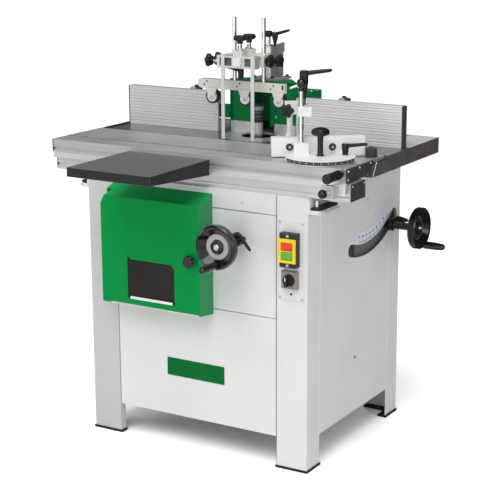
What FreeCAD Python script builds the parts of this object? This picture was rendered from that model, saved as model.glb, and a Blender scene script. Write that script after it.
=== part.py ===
import FreeCAD, Part
import math
import os
import re
import Sketcher
from FreeCAD import Placement, Rotation, Vector

# Spindle moulder with a sliding table and a tilting spindle.
# Millimetres. +X runs along the front to the right, +Y to the rear and +Z up.
# The origin is on the floor, under the centre of the cabinet.

SIZES = {
    # Clearances that serve the whole machine
    "overrun": 1,
    "running_gap": 0.05,
    "moving_gap": 0.3,
    # Cabinet frame: posts, rails and feet
    "cabinet_length": 720,
    "cabinet_depth": 576,
    "sheet": 2,
    "post_face": 95,
    "post_side": 73,
    "post_lip": 22,
    "foot_height": 6,
    "foot_margin": 3,
    "foot_rim": 25,
    "front_drop": 90,
    "frame_rail": 30,
    "side_rail_depth": 40,
    "fascia_height": 55,
    "fascia_return": 46,
    # Panels
    "panel_bottom": 91,
    "panel_split_drop": 344,
    "panel_seam": 1.5,
    "panel_return": 18,
    "bay_margin": 7,
    "bay_lap": 8,
    "bay_bottom_drop": 333,
    "bay_top_drop": 59,
    "knockout_y": 73,
    "knockout_drop": 83,
    "knockout_radius": 18,
    "knockout_rim": 4,
    "knockout_proud": 1.5,
    "gland_x": 190,
    "gland_z": 170,
    "gland_radius": 12,
    "gland_length": 24,
    "gland_bore": 5,
    "vent_pitch": 26,
    "vent_length": 150,
    "vent_height": 8,
    "vent_z": 250,
    # Cast table with the spindle opening
    "table_height": 865,
    "table_length": 960,
    "table_depth": 45,
    "table_front": 55,
    "table_ledge_gap": 5,
    "table_ledge_drop": 12,
    "table_edge_chamfer": 2,
    "table_plate": 15,
    "table_rim": 16,
    "table_rib": 26,
    "opening_radius": 104,
    "opening_recess_radius": 108,
    "opening_recess": 5,
    "ring_bore": 50,
    "opening_wall": 16,
    "spindle_x": 6,
    "spindle_y": 57,
    # Sliding table, its guide rail and what it carries
    "slider_left": 483,
    "slider_right": 470,
    "slider_rear": 58,
    "slider_plate": 12,
    "slider_flange": 9,
    "slider_skirt": 54,
    "slider_skirt_wall": 10,
    "slider_body": 133,
    "slider_leg": 38,
    "slider_leg_wall": 10,
    "slider_groove": 8,
    "slider_groove_depth": 4,
    "slider_groove_drop": 27,
    "tslot_inset": 78,
    "tslot_width": 14,
    "tslot_undercut": 26,
    "tslot_mouth": 10,
    "tslot_depth": 18,
    "tslot_wall": 7,
    "rail_left": 482,
    "rail_right": 476,
    "rail_inset": 16,
    "rail_depth": 82,
    "rail_height": 48,
    "rail_wall": 5,
    "rail_groove_rise": 15,
    "shoe_length": 70,
    "shoe_width": 34,
    "shoe_x": 330,
    "extension_left": 215,
    "extension_right": 53,
    "extension_reach": 284,
    "extension_drop": 12,
    "extension_lip": 25,
    "extension_rear_lip": 44,
    "extension_wall": 4,
    "handle_inset": 12,
    "handle_drop": 13,
    "handle_radius": 13,
    "handle_neck": 7,
    "handle_neck_length": 12,
    "handle_length": 77,
    # Table lock: a pull pin in a block on the sliding table
    "lock_inset": 38,
    "lock_drop": 59,
    "lock_block_width": 36,
    "lock_block_height": 34,
    "lock_block_depth": 30,
    "lock_pin_radius": 7,
    "lock_collar_radius": 12,
    "lock_collar_length": 20,
    "lock_ball_radius": 12,
    # End stops of the sliding table
    "stop_reach": 39,
    "stop_length": 110,
    "stop_corner": 19,
    "stop_plate": 5,
    "stop_drop": 41,
    "stop_tab": 38,
    "stop_pad_inset": 5,
    "stop_pad_height": 11,
    # Mitre gauge, in its own turned frame about its pivot
    "mitre_inset": 116,
    "mitre_angle_deg": 34.2,
    "mitre_disc_radius": 93,
    "mitre_disc": 12,
    "mitre_lift": 1,
    "mitre_fence_length": 253,
    "mitre_fence_height": 51,
    "mitre_fence_depth": 30,
    "mitre_fence_y": 48.5,
    "mitre_fence_lift": 3,
    "mitre_fence_wall": 4,
    "mitre_fence_lip": 28,
    "mitre_nut_radius": 12.5,
    "mitre_nut_height": 6,
    "mitre_spigot_radius": 6.7,
    "mitre_screw_radius": 4,
    "mitre_screw_depth": 14,
    "thandle_stem_radius": 8,
    "thandle_head_radius": 25,
    "thandle_height": 76,
    "thandle_head_height": 21,
    "mlever_x": 68,
    "mlever_y": 9,
    "mlever_hub_radius": 11,
    "mlever_hub_height": 40,
    "mlever_length": 58,
    "mlever_radius": 5.5,
    "post_x": 48,
    "post_y": 36,
    "post_radius": 7.5,
    "post_base_half": 20,
    "post_base_front": 14,
    "post_base_height": 30,
    "post_height": 168,
    "arm_block": 36,
    "arm_block_shift": 8,
    "arm_block_height": 24,
    "arm_block_rise": 116,
    "arm_width": 26,
    "arm_height": 24,
    "arm_reach": 94,
    "arm_shift": 22,
    "arm_rod_radius": 8,
    "arm_rod_length": 62,
    "arm_foot_radius": 12,
    "arm_foot": 8,
    "arm_pin_shift": 10,
    "arm_pin_y": 70,
    "arm_pin_radius": 5,
    "clever_hub_radius": 12,
    "clever_hub_height": 92,
    "clever_length": 75,
    "clever_radius": 7,
    # Fence: two plates on bars, with a chip hood between them
    "fence_height": 118,
    "fence_depth": 26,
    "fence_wall": 4,
    "fence_left_end": 453,
    "fence_right_end": 466,
    "fence_gap_left": 133,
    "fence_gap_right": 133,
    "fence_groove_pitch": 9.5,
    "fence_groove": 2.5,
    "fence_groove_depth": 1,
    "carrier_reach": 226,
    "carrier_depth": 14,
    "carrier_height": 40,
    "carrier_rise": 40,
    "hood_half": 113,
    "hood_front_setback": 27,
    "hood_rear": 239,
    "hood_height": 158,
    "hood_step_rise": 121,
    "hood_crown_rear": 150,
    "hood_crown_taper": 51,
    "hood_sheet": 3,
    "hood_shutter_y": 91,
    "hood_mouth": 36,
    "hood_skirt_height": 32,
    "duct_half": 60,
    "duct_top_rise": 105,
    "duct_bottom_rise": 1,
    "duct_rear": 318,
    "port_radius": 47.5,
    "port_wall": 2.5,
    "port_length": 32,
    # Hold-down unit on the hood
    "foot_plate": 6,
    "foot_plate_half": 47,
    "foot_plate_front": 92,
    "foot_plate_rear": 172,
    "bracket_depth": 50,
    "bracket_y": 108,
    "bracket_top_rise": 256,
    "beam_section": 24,
    "beam_rise": 214,
    "beam_front": 66,
    "head_left": 70,
    "head_right": 56,
    "boss_half": 14.5,
    "boss_height": 16,
    "head_depth": 26,
    "head_bottom_rise": 208,
    "head_height": 35,
    "head_pocket": 18,
    "head_pocket_wall": 6,
    "rod_head_y": 6,
    "bar_head_y": 44,
    "press_rod_radius": 6,
    "press_rod_half": 48.5,
    "press_rod_top_rise": 347,
    "bar_left": 166,
    "bar_right": 126,
    "bar_depth": 14,
    "bar_bottom_rise": 137,
    "bar_height": 28,
    "roller_radius": 21.5,
    "roller_hub_radius": 13,
    "roller_width": 18,
    "roller_hub_proud": 1,
    "roller_rise": 114,
    "roller_pitch": 112,
    "roller_shift": 12,
    "roller_pin_radius": 4,
    "roller_ear": 3,
    "roller_ear_half": 20,
    "flat_bar_width": 11,
    "flat_bar": 3,
    "flat_bar_half": 49,
    "flat_bar_bottom_rise": 3,
    "flat_bar_top_rise": 248,
    "knob_radius": 17,
    "knob_lobe_radius": 6,
    "knob_height": 15,
    "knob_stem_radius": 6,
    "knob_stem": 24,
    "knob_screw_radius": 3,
    "knob_screw": 4.5,
    # Tilt: arc guides under the table and the cradle that runs in them
    "guide_offset": 104,
    "guide_plate": 16,
    "guide_outer": 212,
    "guide_inner": 150,
    "guide_groove_inner": 172,
    "guide_groove_outer": 192,
    "guide_start_deg": -64,
    "guide_end_deg": 39,
    "guide_flank_deg": 7,
    "key_start_deg": -15,
    "key_end_deg": 35,
    "cradle_back_y": 115,
    "cradle_back_plate": 16,
    "cradle_back_bottom_drop": 325,
    "cradle_back_top_drop": 113,
    "cradle_gib": 12,
    "cradle_gib_depth": 18,
    "screw_lug": 26,
    "screw_lug_height": 14,
    "lift_screw_radius": 8,
    "tilt_excess": 12,
    "tilt_rest_deg": 30.5,
    "gearbox_length": 45,
    "gearbox_inset": 15,
    "gearbox_half": 24,
    "gear_arm_half": 16,
    "slot_half": 18,
    "slot_start_deg": -17,
    "slot_end_deg": 39,
    "cover_half": 26,
    "cover_start_deg": -8,
    "cover_end_deg": 42,
    "cover_plate": 2,
    # Lift slide, motor, belt and spindle
    "quill_radius": 48,
    "quill_bottom_drop": 353,
    "quill_top_drop": 151,
    "quill_relief": 27,
    "quill_land": 24,
    "slide_half": 62,
    "slide_bottom_drop": 335,
    "slide_top_drop": 143,
    "slide_depth": 18,
    "motor_plate": 12,
    "motor_plate_left": 250,
    "motor_plate_right": 46,
    "motor_plate_front": 8,
    "motor_x": 184,
    "motor_radius": 63,
    "motor_fin": 4,
    "motor_fin_pitch": 12,
    "motor_top_drop": 181,
    "motor_cap": 26,
    "motor_hub_radius": 14,
    "pulley_radius": 34,
    "motor_pulley_radius": 50,
    "pulley_bottom_drop": 413,
    "pulley_height": 34,
    "pulley_flange": 3,
    "pulley_flange_proud": 5,
    "belt": 4,
    "belt_width": 24,
    "spindle_radius": 15,
    "spindle_shaft_radius": 20,
    "spindle_collar_radius": 24,
    "spindle_collar_drop": 87,
    "spindle_collar": 10,
    "spindle_shoulder_rise": 40,
    "spindle_thread_radius": 10,
    "spindle_thread": 36,
    "nut_radius": 17,
    "nut_height": 56,
    "nut_flange_radius": 18,
    "nut_flange": 10,
    "nut_socket_radius": 11,
    "nut_socket": 16,
    "nut_slot": 6,
    "nut_slot_depth": 9,
    # Handwheels, their shafts, grips and clamp levers
    "wheel_radius": 61,
    "wheel_rim": 10,
    "wheel_hub_radius": 20,
    "wheel_hub": 38,
    "wheel_depth": 26,
    "wheel_dish": 17,
    "wheel_ring_radius": 36,
    "wheel_boss_radius": 20,
    "wheel_boss": 3,
    "wheel_shaft_radius": 8,
    "wheel_tube_radius": 11,
    "grip_radius": 11,
    "grip_tip_radius": 9,
    "grip_length": 68,
    "grip_neck": 5,
    "grip_pin_radius": 5,
    "grip_orbit": 48,
    "height_wheel_inset": 122,
    "height_wheel_drop": 134,
    "height_wheel_reach": 122,
    "height_shaft_inset": 52,
    "bush_radius": 13,
    "bush_flange_radius": 20,
    "bush_flange": 4,
    "bush_nose": 18,
    "yoke_radius": 15,
    "yoke_length": 30,
    "yoke_gap": 14,
    "tilt_wheel_reach": 112,
    "clamp_ring": 6,
    "clamp_ring_length": 14,
    "clamp_lever": 58,
    "clamp_lever_radius": 6,
    "clamp_tip_radius": 5,
    "height_lock_deg": -50,
    "tilt_lock_deg": 60,
    "tilt_lock_gap": 3,
    # Access door with its window and knob
    "door_lap": 5,
    "door_wheel_gap": 83,
    "door_bottom_drop": 352,
    "door_top_drop": 40,
    "door_bulge": 67,
    "door_rim_right": 2,
    "door_rim_bottom": 8,
    "door_rim_top": 24,
    "door_sheet": 2.5,
    "door_corner": 26,
    "window_left_margin": 88,
    "window_right_margin": 83,
    "window_bottom_drop": 330,
    "window_top_drop": 216,
    "window_lap": 8,
    "window_pane": 3,
    "door_knob_inset": 23,
    "door_knob_drop": 194,
    "door_knob_radius": 18,
    "door_knob_neck_radius": 9,
    "door_knob_depth": 26,
    "door_knob_pin_radius": 4,
    "hinge_pin_radius": 3,
    "hinge_knuckle_radius": 6,
    "hinge_knuckle": 30,
    "hinge_low_drop": 295,
    "hinge_high_drop": 115,
    # Switch and selector on the right front post
    "switch_inset": 49,
    "switch_plate_half": 38.5,
    "switch_plate_bottom_drop": 283,
    "switch_plate_top_drop": 63,
    "switch_half": 26,
    "switch_bottom_drop": 188,
    "switch_top_drop": 95,
    "switch_depth": 22,
    "switch_chamfer": 3,
    "button_half": 17,
    "button_tall": 21,
    "button_proud": 6,
    "button_depth": 18,
    "button_pocket": 17,
    "stop_button_drop": 130,
    "start_button_drop": 155.5,
    "selector_half": 24,
    "selector_drop": 225,
    "selector_depth": 12,
    "selector_radius": 17,
    "selector_height": 10,
    "selector_bar": 8,
    "selector_bar_height": 12,
    "selector_pin_radius": 4,
}

# Shares that shape the turned and tapered pieces
SHARES = {
    "handle_tip_share": 0.7,
    "handle_round_share": 0.4,
    "handle_waist_share": 0.92,
    "handle_root_share": 0.8,
    "thandle_waist_share": 0.8,
    "thandle_under_share": 0.6,
    "thandle_low_share": 0.35,
    "thandle_high_share": 0.6,
    "thandle_crown_share": 0.7,
    "mlever_drop_share": 1.6,
    "mlever_hub_share": 0.8,
    "mlever_taper_share": 0.75,
    "mlever_tip_share": 0.9,
    "arm_foot_share": 0.8,
    "clever_hub_share": 0.85,
    "clever_taper_share": 0.7,
    "clever_tip_share": 0.8,
    "head_pocket_share": 1.5,
    "roller_ear_share": 1.6,
    "knob_core_share": 0.6,
    "knob_step_share": 0.4,
    "motor_cap_share": 0.9,
    "nut_round_share": 0.25,
    "wheel_round_share": 0.3,
    "wheel_flare_share": 1.1,
    "wheel_shoulder_share": 1.5,
    "grip_pin_share": 0.7,
    "yoke_root_share": 0.4,
    "grip_belly_share": 0.6,
    "grip_end_share": 0.6,
    "knob_neck_share": 0.3,
    "knob_back_share": 0.45,
    "knob_low_share": 0.6,
    "knob_high_share": 0.8,
    "knob_swell_share": 0.9,
    "knob_crown_share": 0.85,
    "selector_face_share": 0.85,
    "selector_bar_share": 0.82,
}

FORMULAS = {
    "half_x": "cabinet_length / 2",
    "half_y": "cabinet_depth / 2",
    "front": "-half_y",
    "underside": "table_height - table_depth",
    "fascia_bottom": "front_height - fascia_height",
    "panel_half": "half_x - post_face",
    "front_height": "table_height - front_drop",
    "panel_split": "front_height - panel_split_drop",
    "bay_bottom": "front_height - bay_bottom_drop",
    "bay_top": "front_height - bay_top_drop",
    "knockout_z": "front_height - knockout_drop",
    "rail_groove_z": "front_height + rail_groove_rise",
    "stop_z": "front_height - stop_drop",
    "height_wheel_z": "front_height - height_wheel_drop",
    "door_bottom": "front_height - door_bottom_drop",
    "door_top": "front_height - door_top_drop",
    "window_bottom": "front_height - window_bottom_drop",
    "window_top": "front_height - window_top_drop",
    "door_knob_z": "front_height - door_knob_drop",
    "hinge_low_z": "front_height - hinge_low_drop",
    "hinge_high_z": "front_height - hinge_high_drop",
    "switch_plate_bottom": "front_height - switch_plate_bottom_drop",
    "switch_plate_top": "front_height - switch_plate_top_drop",
    "switch_bottom": "front_height - switch_bottom_drop",
    "switch_top": "front_height - switch_top_drop",
    "stop_button_z": "front_height - stop_button_drop",
    "start_button_z": "front_height - start_button_drop",
    "selector_z": "front_height - selector_drop",
    "slider_groove_z": "table_height - slider_groove_drop",
    "handle_z": "table_height - handle_drop",
    "lock_z": "table_height - lock_drop",
    "arm_block_z": "table_height + arm_block_rise",
    "carrier_z": "table_height + carrier_rise",
    "duct_top": "table_height + duct_top_rise",
    "duct_bottom": "table_height + duct_bottom_rise",
    "bracket_top": "table_height + bracket_top_rise",
    "beam_z": "table_height + beam_rise",
    "head_bottom": "table_height + head_bottom_rise",
    "press_rod_top": "table_height + press_rod_top_rise",
    "bar_bottom": "table_height + bar_bottom_rise",
    "roller_z": "table_height + roller_rise",
    "flat_bar_bottom": "table_height + flat_bar_bottom_rise",
    "flat_bar_top": "table_height + flat_bar_top_rise",
    "spindle_shoulder_z": "table_height + spindle_shoulder_rise",
    "cradle_back_bottom": "table_height - cradle_back_bottom_drop",
    "cradle_back_top": "table_height - cradle_back_top_drop",
    "quill_bottom": "table_height - quill_bottom_drop",
    "quill_top": "table_height - quill_top_drop",
    "slide_bottom": "table_height - slide_bottom_drop",
    "slide_top": "table_height - slide_top_drop",
    "motor_top": "table_height - motor_top_drop",
    "pulley_bottom": "table_height - pulley_bottom_drop",
    "spindle_collar_z": "table_height - spindle_collar_drop",
    "rail_front": "half_y - rail_inset",
    "rail_rear": "rail_front - rail_depth",
    "tslot_y": "half_y - tslot_inset",
    "slider_body_rear": "half_y - slider_body",
    "table_ledge": "slider_body_rear - table_front - table_ledge_gap",
    "extension_front": "half_y + extension_reach",
    "height_wheel_front": "half_y + height_wheel_reach",
    "height_shaft_rear": "half_y - height_shaft_inset",
    "tilt_radius": "half_y + tilt_excess",
    "bay_left": "panel_half - bay_margin",
    "bay_right": "door_right - bay_lap",
    "door_left": "panel_half + door_lap",
    "door_right": "height_wheel_x - door_wheel_gap",
    "window_left": "door_left - window_left_margin",
    "window_right": "window_right_margin - door_right",
    "door_knob_x": "door_right - door_knob_inset",
    "height_wheel_x": "panel_half - height_wheel_inset",
    "switch_x": "half_x - switch_inset",
    "tilt_wheel_right": "half_x + tilt_wheel_reach",
    "gearbox_left": "gearbox_right - gearbox_length",
    "gearbox_right": "half_x - gearbox_inset",
    "tilt_lock_x": "half_x + tilt_lock_gap",
    "lock_x": "slider_right - lock_inset",
    "handle_x": "slider_right - handle_inset",
    "mitre_x": "slider_right - mitre_inset",
    "table_half": "table_length / 2",
    "rail_top": "front_height + rail_height",
    "slider_under": "table_height - slider_plate",
    "extension_top": "table_height - extension_drop",
    "mitre_base": "table_height + mitre_lift",
    "mitre_top": "mitre_base + mitre_disc",
    "mitre_fence_base": "table_height + mitre_fence_lift",
    "mitre_fence_top": "mitre_fence_base + mitre_fence_height",
    "arm_y": "post_y + arm_block / 2",
    "arm_top": "arm_block_z + arm_block_height",
    "arm_rod_x": "-post_x - arm_shift",
    "arm_pin_x": "-post_x + arm_pin_shift",
    "arm_rod_y": "arm_y + arm_reach - arm_width / 2",
    "fence_base": "table_height + moving_gap",
    "fence_top": "fence_base + fence_height",
    "fence_back": "spindle_y + fence_depth",
    "hood_left": "spindle_x - hood_half",
    "hood_right": "spindle_x + hood_half",
    "hood_front": "spindle_y + hood_front_setback",
    "hood_top": "table_height + hood_height",
    "hood_step": "table_height + hood_step_rise",
    "duct_middle": "(duct_top + duct_bottom) / 2",
    "foot_top": "hood_top + foot_plate",
    "head_top": "head_bottom + head_height",
    "head_middle": "head_bottom + head_height / 2",
    "boss_top": "head_top + boss_height",
    "beam_top": "beam_z + beam_section",
    "beam_left": "spindle_x - beam_section / 2",
    "beam_right": "spindle_x + beam_section / 2",
    "bar_top": "bar_bottom + bar_height",
    "bar_front": "rod_head_y - bar_depth / 2",
    "bar_rear": "rod_head_y + bar_depth / 2",
    "roller_front": "bar_front + moving_gap",
    "roller_middle_x": "spindle_x - roller_shift",
    "cradle_right": "spindle_x + guide_offset",
    "cradle_left": "spindle_x - guide_offset",
    "gear_y": "spindle_y + tilt_radius * sin(tilt_rest_deg)",
    "gear_z": "table_height - tilt_radius * cos(tilt_rest_deg)",
    "slide_rear": "cradle_back_y - moving_gap",
    "screw_y": "cradle_back_y + cradle_back_plate + screw_lug / 2",
    "motor_seat": "quill_bottom",
    "pulley_top": "pulley_bottom + pulley_height",
    "belt_bottom": "pulley_bottom + (pulley_height - belt_width) / 2",
    "belt_top": "belt_bottom + belt_width",
    "shaft_span": "spindle_x + motor_x",
    "belt_sine": "(motor_pulley_radius - pulley_radius) / shaft_span",
    "belt_cosine": "sqrt(1 - belt_sine * belt_sine)",
    "spindle_bottom": "pulley_bottom - pulley_flange",
    "nut_top": "spindle_shoulder_z + nut_height",
    "height_wheel_rear": "-height_wheel_front + wheel_hub",
    "tilt_wheel_left": "tilt_wheel_right - wheel_hub",
    "door_front": "front - door_bulge",
    "door_rear": "front - moving_gap",
    "hinge_x": "-door_left - hinge_knuckle_radius",
    "hinge_y": "front - hinge_knuckle_radius - moving_gap",
    "switch_back": "front - sheet",
    "switch_front": "switch_back - switch_depth",
    "selector_front": "switch_back - selector_depth",
}

ALONG = {"x": Rotation(Vector(0, 1, 0), 90), "y": Rotation(Vector(1, 0, 0), -90), "z": Rotation()}
PLANES = {"x": "YZ_Plane", "y": "XZ_Plane", "z": "XY_Plane"}
KNOB_LOBE_COUNT = 5
NUT_SLOT_COUNT = 4
MOTOR_FIN_COUNT = 12
FENCE_GROOVE_COUNT = 11
VENT_SLOT_COUNT = 5
ROLLER_PLACES = (-1, 0, 1)
SIDES = (-1, 1)
SHOE_SHARES = (1, 1 / 3)

doc = FreeCAD.newDocument("spindle_moulder")
sheet = doc.addObject("Spreadsheet::Sheet", "sizes")
for row, (alias, size) in enumerate(SIZES.items(), start=1):
    sheet.set(f"A{row}", str(size))
    sheet.setAlias(f"A{row}", alias)
doc.recompute()

nodes = []


# Helpers that write expressions and place objects

def e(text):
    """An expression in which each named size points at its cell."""
    def swap(match):
        word = match.group(0)
        if word in FORMULAS:
            return f"({e(FORMULAS[word])})"
        if word in SHARES:
            return str(SHARES[word])
        return f"sizes.{word}" if word in SIZES else word
    return re.sub(r"[A-Za-z_]\w*", swap, text)


def number(text):
    """The present value of an expression."""
    return float(sheet.evalExpression(e(text)))


def spread(axis, along, across):
    """Three coordinates from one along an axis and two across it, in X, Y, Z order."""
    places = list(across)
    places.insert("xyz".index(axis), along)
    return places


def place(obj, at, rotation=Rotation()):
    obj.Placement = Placement(Vector(), rotation)
    for axis, text in zip("xyz", at):
        obj.setExpression(f"Placement.Base.{axis}", e(text))
    return obj


def past(span):
    """A span lengthened at both ends by the overrun of a cut."""
    return f"{span[0]} - overrun", f"{span[1]} + overrun"


def beside(side, low, high):
    """A span on the right, or its mirror on the left."""
    return (low, high) if side > 0 else (f"-({high})", f"-({low})")


def around(middle, half):
    return f"{middle} - ({half})", f"{middle} + ({half})"


# Helpers that make solids

def block(x, y, z):
    box = doc.addObject("Part::Box", "block")
    for side, span in zip(("Length", "Width", "Height"), (x, y, z)):
        box.setExpression(side, e(f"({span[1]}) - ({span[0]})"))
    return place(box, (x[0], y[0], z[0]))


def rod(axis, across, span, radius, end_radius=None):
    """A round bar along an axis, or a cone where it has an end radius."""
    tapered = end_radius is not None
    bar = doc.addObject("Part::Cone" if tapered else "Part::Cylinder", "rod")
    bar.setExpression("Height", e(f"({span[1]}) - ({span[0]})"))
    bar.setExpression("Radius1" if tapered else "Radius", e(radius))
    if tapered:
        bar.setExpression("Radius2", e(end_radius))
    return place(bar, spread(axis, span[0], across), ALONG[axis])


def ball(at, radius):
    sphere = doc.addObject("Part::Sphere", "ball")
    sphere.setExpression("Radius", e(radius))
    return place(sphere, at)


def fuse(*shapes):
    union = doc.addObject("Part::MultiFuse", "fuse")
    union.Shapes = list(shapes)
    return union


def cut(base, *tools):
    result = doc.addObject("Part::Cut", "cut")
    result.Base = base
    result.Tool = tools[0] if len(tools) == 1 else fuse(*tools)
    return result


def shared(first, second):
    result = doc.addObject("Part::Common", "shared")
    result.Base = first
    result.Tool = second
    return result


def group(*solids):
    """Separate solids that belong to one sub-part."""
    result = doc.addObject("Part::Compound", "group")
    result.Links = list(solids)
    return result


def tube(axis, across, span, outer, inner):
    return cut(rod(axis, across, span, outer), rod(axis, across, past(span), inner))


def outline(body, plane, points):
    """A closed sketch of straight sides with every corner held by two sizes."""
    sketch = body.newObject("Sketcher::SketchObject", "outline")
    origin = [item for item in body.Origin.OriginFeatures if item.Role == plane][0]
    sketch.AttachmentSupport = [(origin, "")]
    sketch.MapMode = "FlatFace"
    corners = [Vector(number(u), number(v), 0) for u, v in points]
    for index, corner in enumerate(corners):
        sketch.addGeometry(Part.LineSegment(corner, corners[(index + 1) % len(corners)]))
    for index, (u, v) in enumerate(points):
        following = (index + 1) % len(points)
        sketch.addConstraint(Sketcher.Constraint("Coincident", index, 2, following, 1))
        for kind, text, value in (("DistanceX", u, corners[index].x), ("DistanceY", v, corners[index].y)):
            held = sketch.addConstraint(Sketcher.Constraint(kind, -1, 1, index, 1, value))
            sketch.setExpression(f"Constraints[{held}]", e(text))
    return sketch


def prism(axis, points, span):
    """A padded outline: points are in X, Y, Z order without the axis."""
    body = doc.addObject("PartDesign::Body", "prism")
    pad = body.newObject("PartDesign::Pad", "pad")
    pad.Profile = outline(body, PLANES[axis], points)
    pad.setExpression("Length", e(f"({span[1]}) - ({span[0]})"))
    start = span[1] if axis == "y" else span[0]
    return place(body, spread(axis, start, ("0", "0")))


def turned(axis, at, points):
    """A revolved outline of (radius, distance along the axis) from a place on it."""
    body = doc.addObject("PartDesign::Body", "turned")
    revolution = body.newObject("PartDesign::Revolution", "revolution")
    sketch = outline(body, "XZ_Plane", points)
    revolution.Profile = sketch
    revolution.ReferenceAxis = (sketch, ["V_Axis"])
    revolution.Angle = 360
    return place(body, at, ALONG[axis])


def sector(inner, outer, start, end, span):
    """Part of a ring about the tilt axis, its angles counted from straight down to the rear."""
    angle = number(start)
    centre = (span[0], "spindle_y", "table_height")
    turn = ALONG["x"] * Rotation(Vector(0, 0, 1), angle)
    wedge = doc.addObject("Part::Cylinder", "sector")
    wedge.setExpression("Radius", e(outer))
    wedge.setExpression("Height", e(f"({span[1]}) - ({span[0]})"))
    wedge.setExpression("Angle", e(f"({end}) - ({start})"))
    place(wedge, centre, turn)
    return cut(wedge, rod("x", ("spindle_y", "table_height"), past(span), inner))


def on_arc(radius, angle):
    """The Y and Z of a point on an arc about the tilt axis."""
    return f"spindle_y + {radius} * sin({angle})", f"table_height - {radius} * cos({angle})"


def ring_places(count, radius, first=0.0):
    """Pairs of offsets evenly round a circle."""
    turns = [first + 360.0 * index / count for index in range(count)]
    return [(f"{radius} * cos({turn})", f"{radius} * sin({turn})") for turn in turns]


def node(name, shape):
    shape.Label = name
    nodes.append(shape)
    return shape


# Cabinet

def post(side_x, side_y, top):
    """A corner post folded from sheet, with a lip that the front or rear panel meets."""
    corners = (
        ("half_x", "half_y"),
        ("half_x - post_face", "half_y"),
        ("half_x - post_face", "half_y - post_lip"),
        ("half_x - post_face + sheet", "half_y - post_lip"),
        ("half_x - post_face + sheet", "half_y - sheet"),
        ("half_x - sheet", "half_y - sheet"),
        ("half_x - sheet", "half_y - post_side"),
        ("half_x", "half_y - post_side"),
    )
    points = [(f"{side_x} * ({x})", f"{side_y} * ({y})") for x, y in corners]
    return prism("z", points, ("foot_height", top))


def side_rail(side):
    """The top rail of one side: low under the guide rail, high under the table."""
    points = (
        ("front + sheet", "front_height - side_rail_depth"),
        ("front + sheet", "front_height"),
        ("-rail_rear", "front_height"),
        ("-rail_rear", "underside"),
        ("half_y - sheet", "underside"),
        ("half_y - sheet", "front_height - side_rail_depth"),
    )
    return prism("x", points, beside(side, "half_x - sheet - frame_rail", "half_x - sheet"))


def tilt_slot(span):
    """The arc-shaped opening for the tilt handwheel, with round ends."""
    ends = [rod("x", on_arc("tilt_radius", angle), span, "slot_half")
            for angle in ("slot_start_deg", "slot_end_deg")]
    arc = sector("tilt_radius - slot_half", "tilt_radius + slot_half",
                 "slot_start_deg", "slot_end_deg", span)
    return [arc, *ends]


def hinge_bracket(bottom):
    """A pin on a lug that carries one knuckle of the door."""
    radius = "hinge_knuckle_radius - moving_gap"
    span = (f"{bottom} - hinge_knuckle_radius", bottom)
    eye = rod("z", ("hinge_x", "hinge_y"), span, radius)
    tail = block(around("hinge_x", radius), ("hinge_y", "front"), span)
    pin = rod("z", ("hinge_x", "hinge_y"), (bottom, f"{bottom} + hinge_knuckle"), "hinge_pin_radius")
    return fuse(eye, tail, pin)


def cabinet_frame():
    wide = ("-half_x + sheet", "half_x - sheet")
    deep = ("front + sheet", "half_y - sheet")
    low = ("panel_bottom", "panel_bottom + frame_rail")
    front_rail = ("front + sheet", "front + sheet + frame_rail")
    rear_rail = ("half_y - sheet - frame_rail", "half_y - sheet")
    pieces = [post(x, y, "front_height" if y < 0 else "underside") for x in SIDES for y in SIDES]
    pieces += [side_rail(side) for side in SIDES]
    pieces += [block(beside(side, "half_x - sheet - frame_rail", "half_x - sheet"), deep, low)
               for side in SIDES]
    pieces += [
        block(wide, front_rail, low),
        block(wide, rear_rail, low),
        block(wide, rear_rail, ("underside - side_rail_depth", "underside")),
        block(("-panel_half", "panel_half"), ("front", "front + sheet"), ("fascia_bottom", "front_height")),
        block(wide, ("front + sheet", "front + fascia_return"), ("front_height - sheet", "front_height")),
        hinge_bracket("hinge_low_z"),
        hinge_bracket("hinge_high_z"),
    ]
    return cut(fuse(*pieces), *tilt_slot(past(("half_x - sheet", "half_x"))))


def rubber_feet():
    """An angle-shaped pad under each post."""
    feet = []
    for side_x in SIDES:
        for side_y in SIDES:
            x = beside(side_x, "half_x - post_face - foot_margin", "half_x + foot_margin")
            y = beside(side_y, "half_y - post_side - foot_margin", "half_y + foot_margin")
            inner_x = beside(side_x, "half_x - post_face - foot_margin - overrun", "half_x - foot_rim")
            inner_y = beside(side_y, "half_y - post_side - foot_margin - overrun", "half_y - foot_rim")
            feet.append(cut(block(x, y, ("0", "foot_height")),
                            block(inner_x, inner_y, past(("0", "foot_height")))))
    return group(*feet)


def front_tray(bottom, top):
    """A front panel with its lower and upper edges folded inwards."""
    x = ("-panel_half", "panel_half")
    fold = ("front + sheet", "front + panel_return")
    return fuse(
        block(x, ("front", "front + sheet"), (bottom, top)),
        block(x, fold, (bottom, f"{bottom} + sheet")),
        block(x, fold, (f"{top} - sheet", top)),
    )


def lower_front_panel():
    tray = front_tray("panel_bottom", "panel_split - panel_seam / 2")
    x = ("-half_x", "half_x")
    rail = block(x, ("front + sheet", "front + post_side"),
                 ("panel_bottom - overrun", "panel_bottom + frame_rail"))
    return cut(tray, rail)


def middle_front_panel():
    tray = front_tray("panel_split + panel_seam / 2", "fascia_bottom - panel_seam")
    bay = block(("-bay_left", "bay_right"), past(("front", "front + sheet")), ("bay_bottom", "bay_top"))
    bush = rod("y", ("height_wheel_x", "height_wheel_z"), past(("front", "front + sheet")), "bush_radius")
    return cut(tray, bay, bush)


def side_panel(side):
    """A flat side, stepped at the front under the guide rail."""
    points = (
        ("front + post_side", "panel_bottom"),
        ("front + post_side", "front_height"),
        ("-rail_rear", "front_height"),
        ("-rail_rear", "underside"),
        ("half_y - post_side", "underside"),
        ("half_y - post_side", "panel_bottom"),
    )
    return prism("x", points, beside(side, "half_x - sheet", "half_x"))


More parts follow.
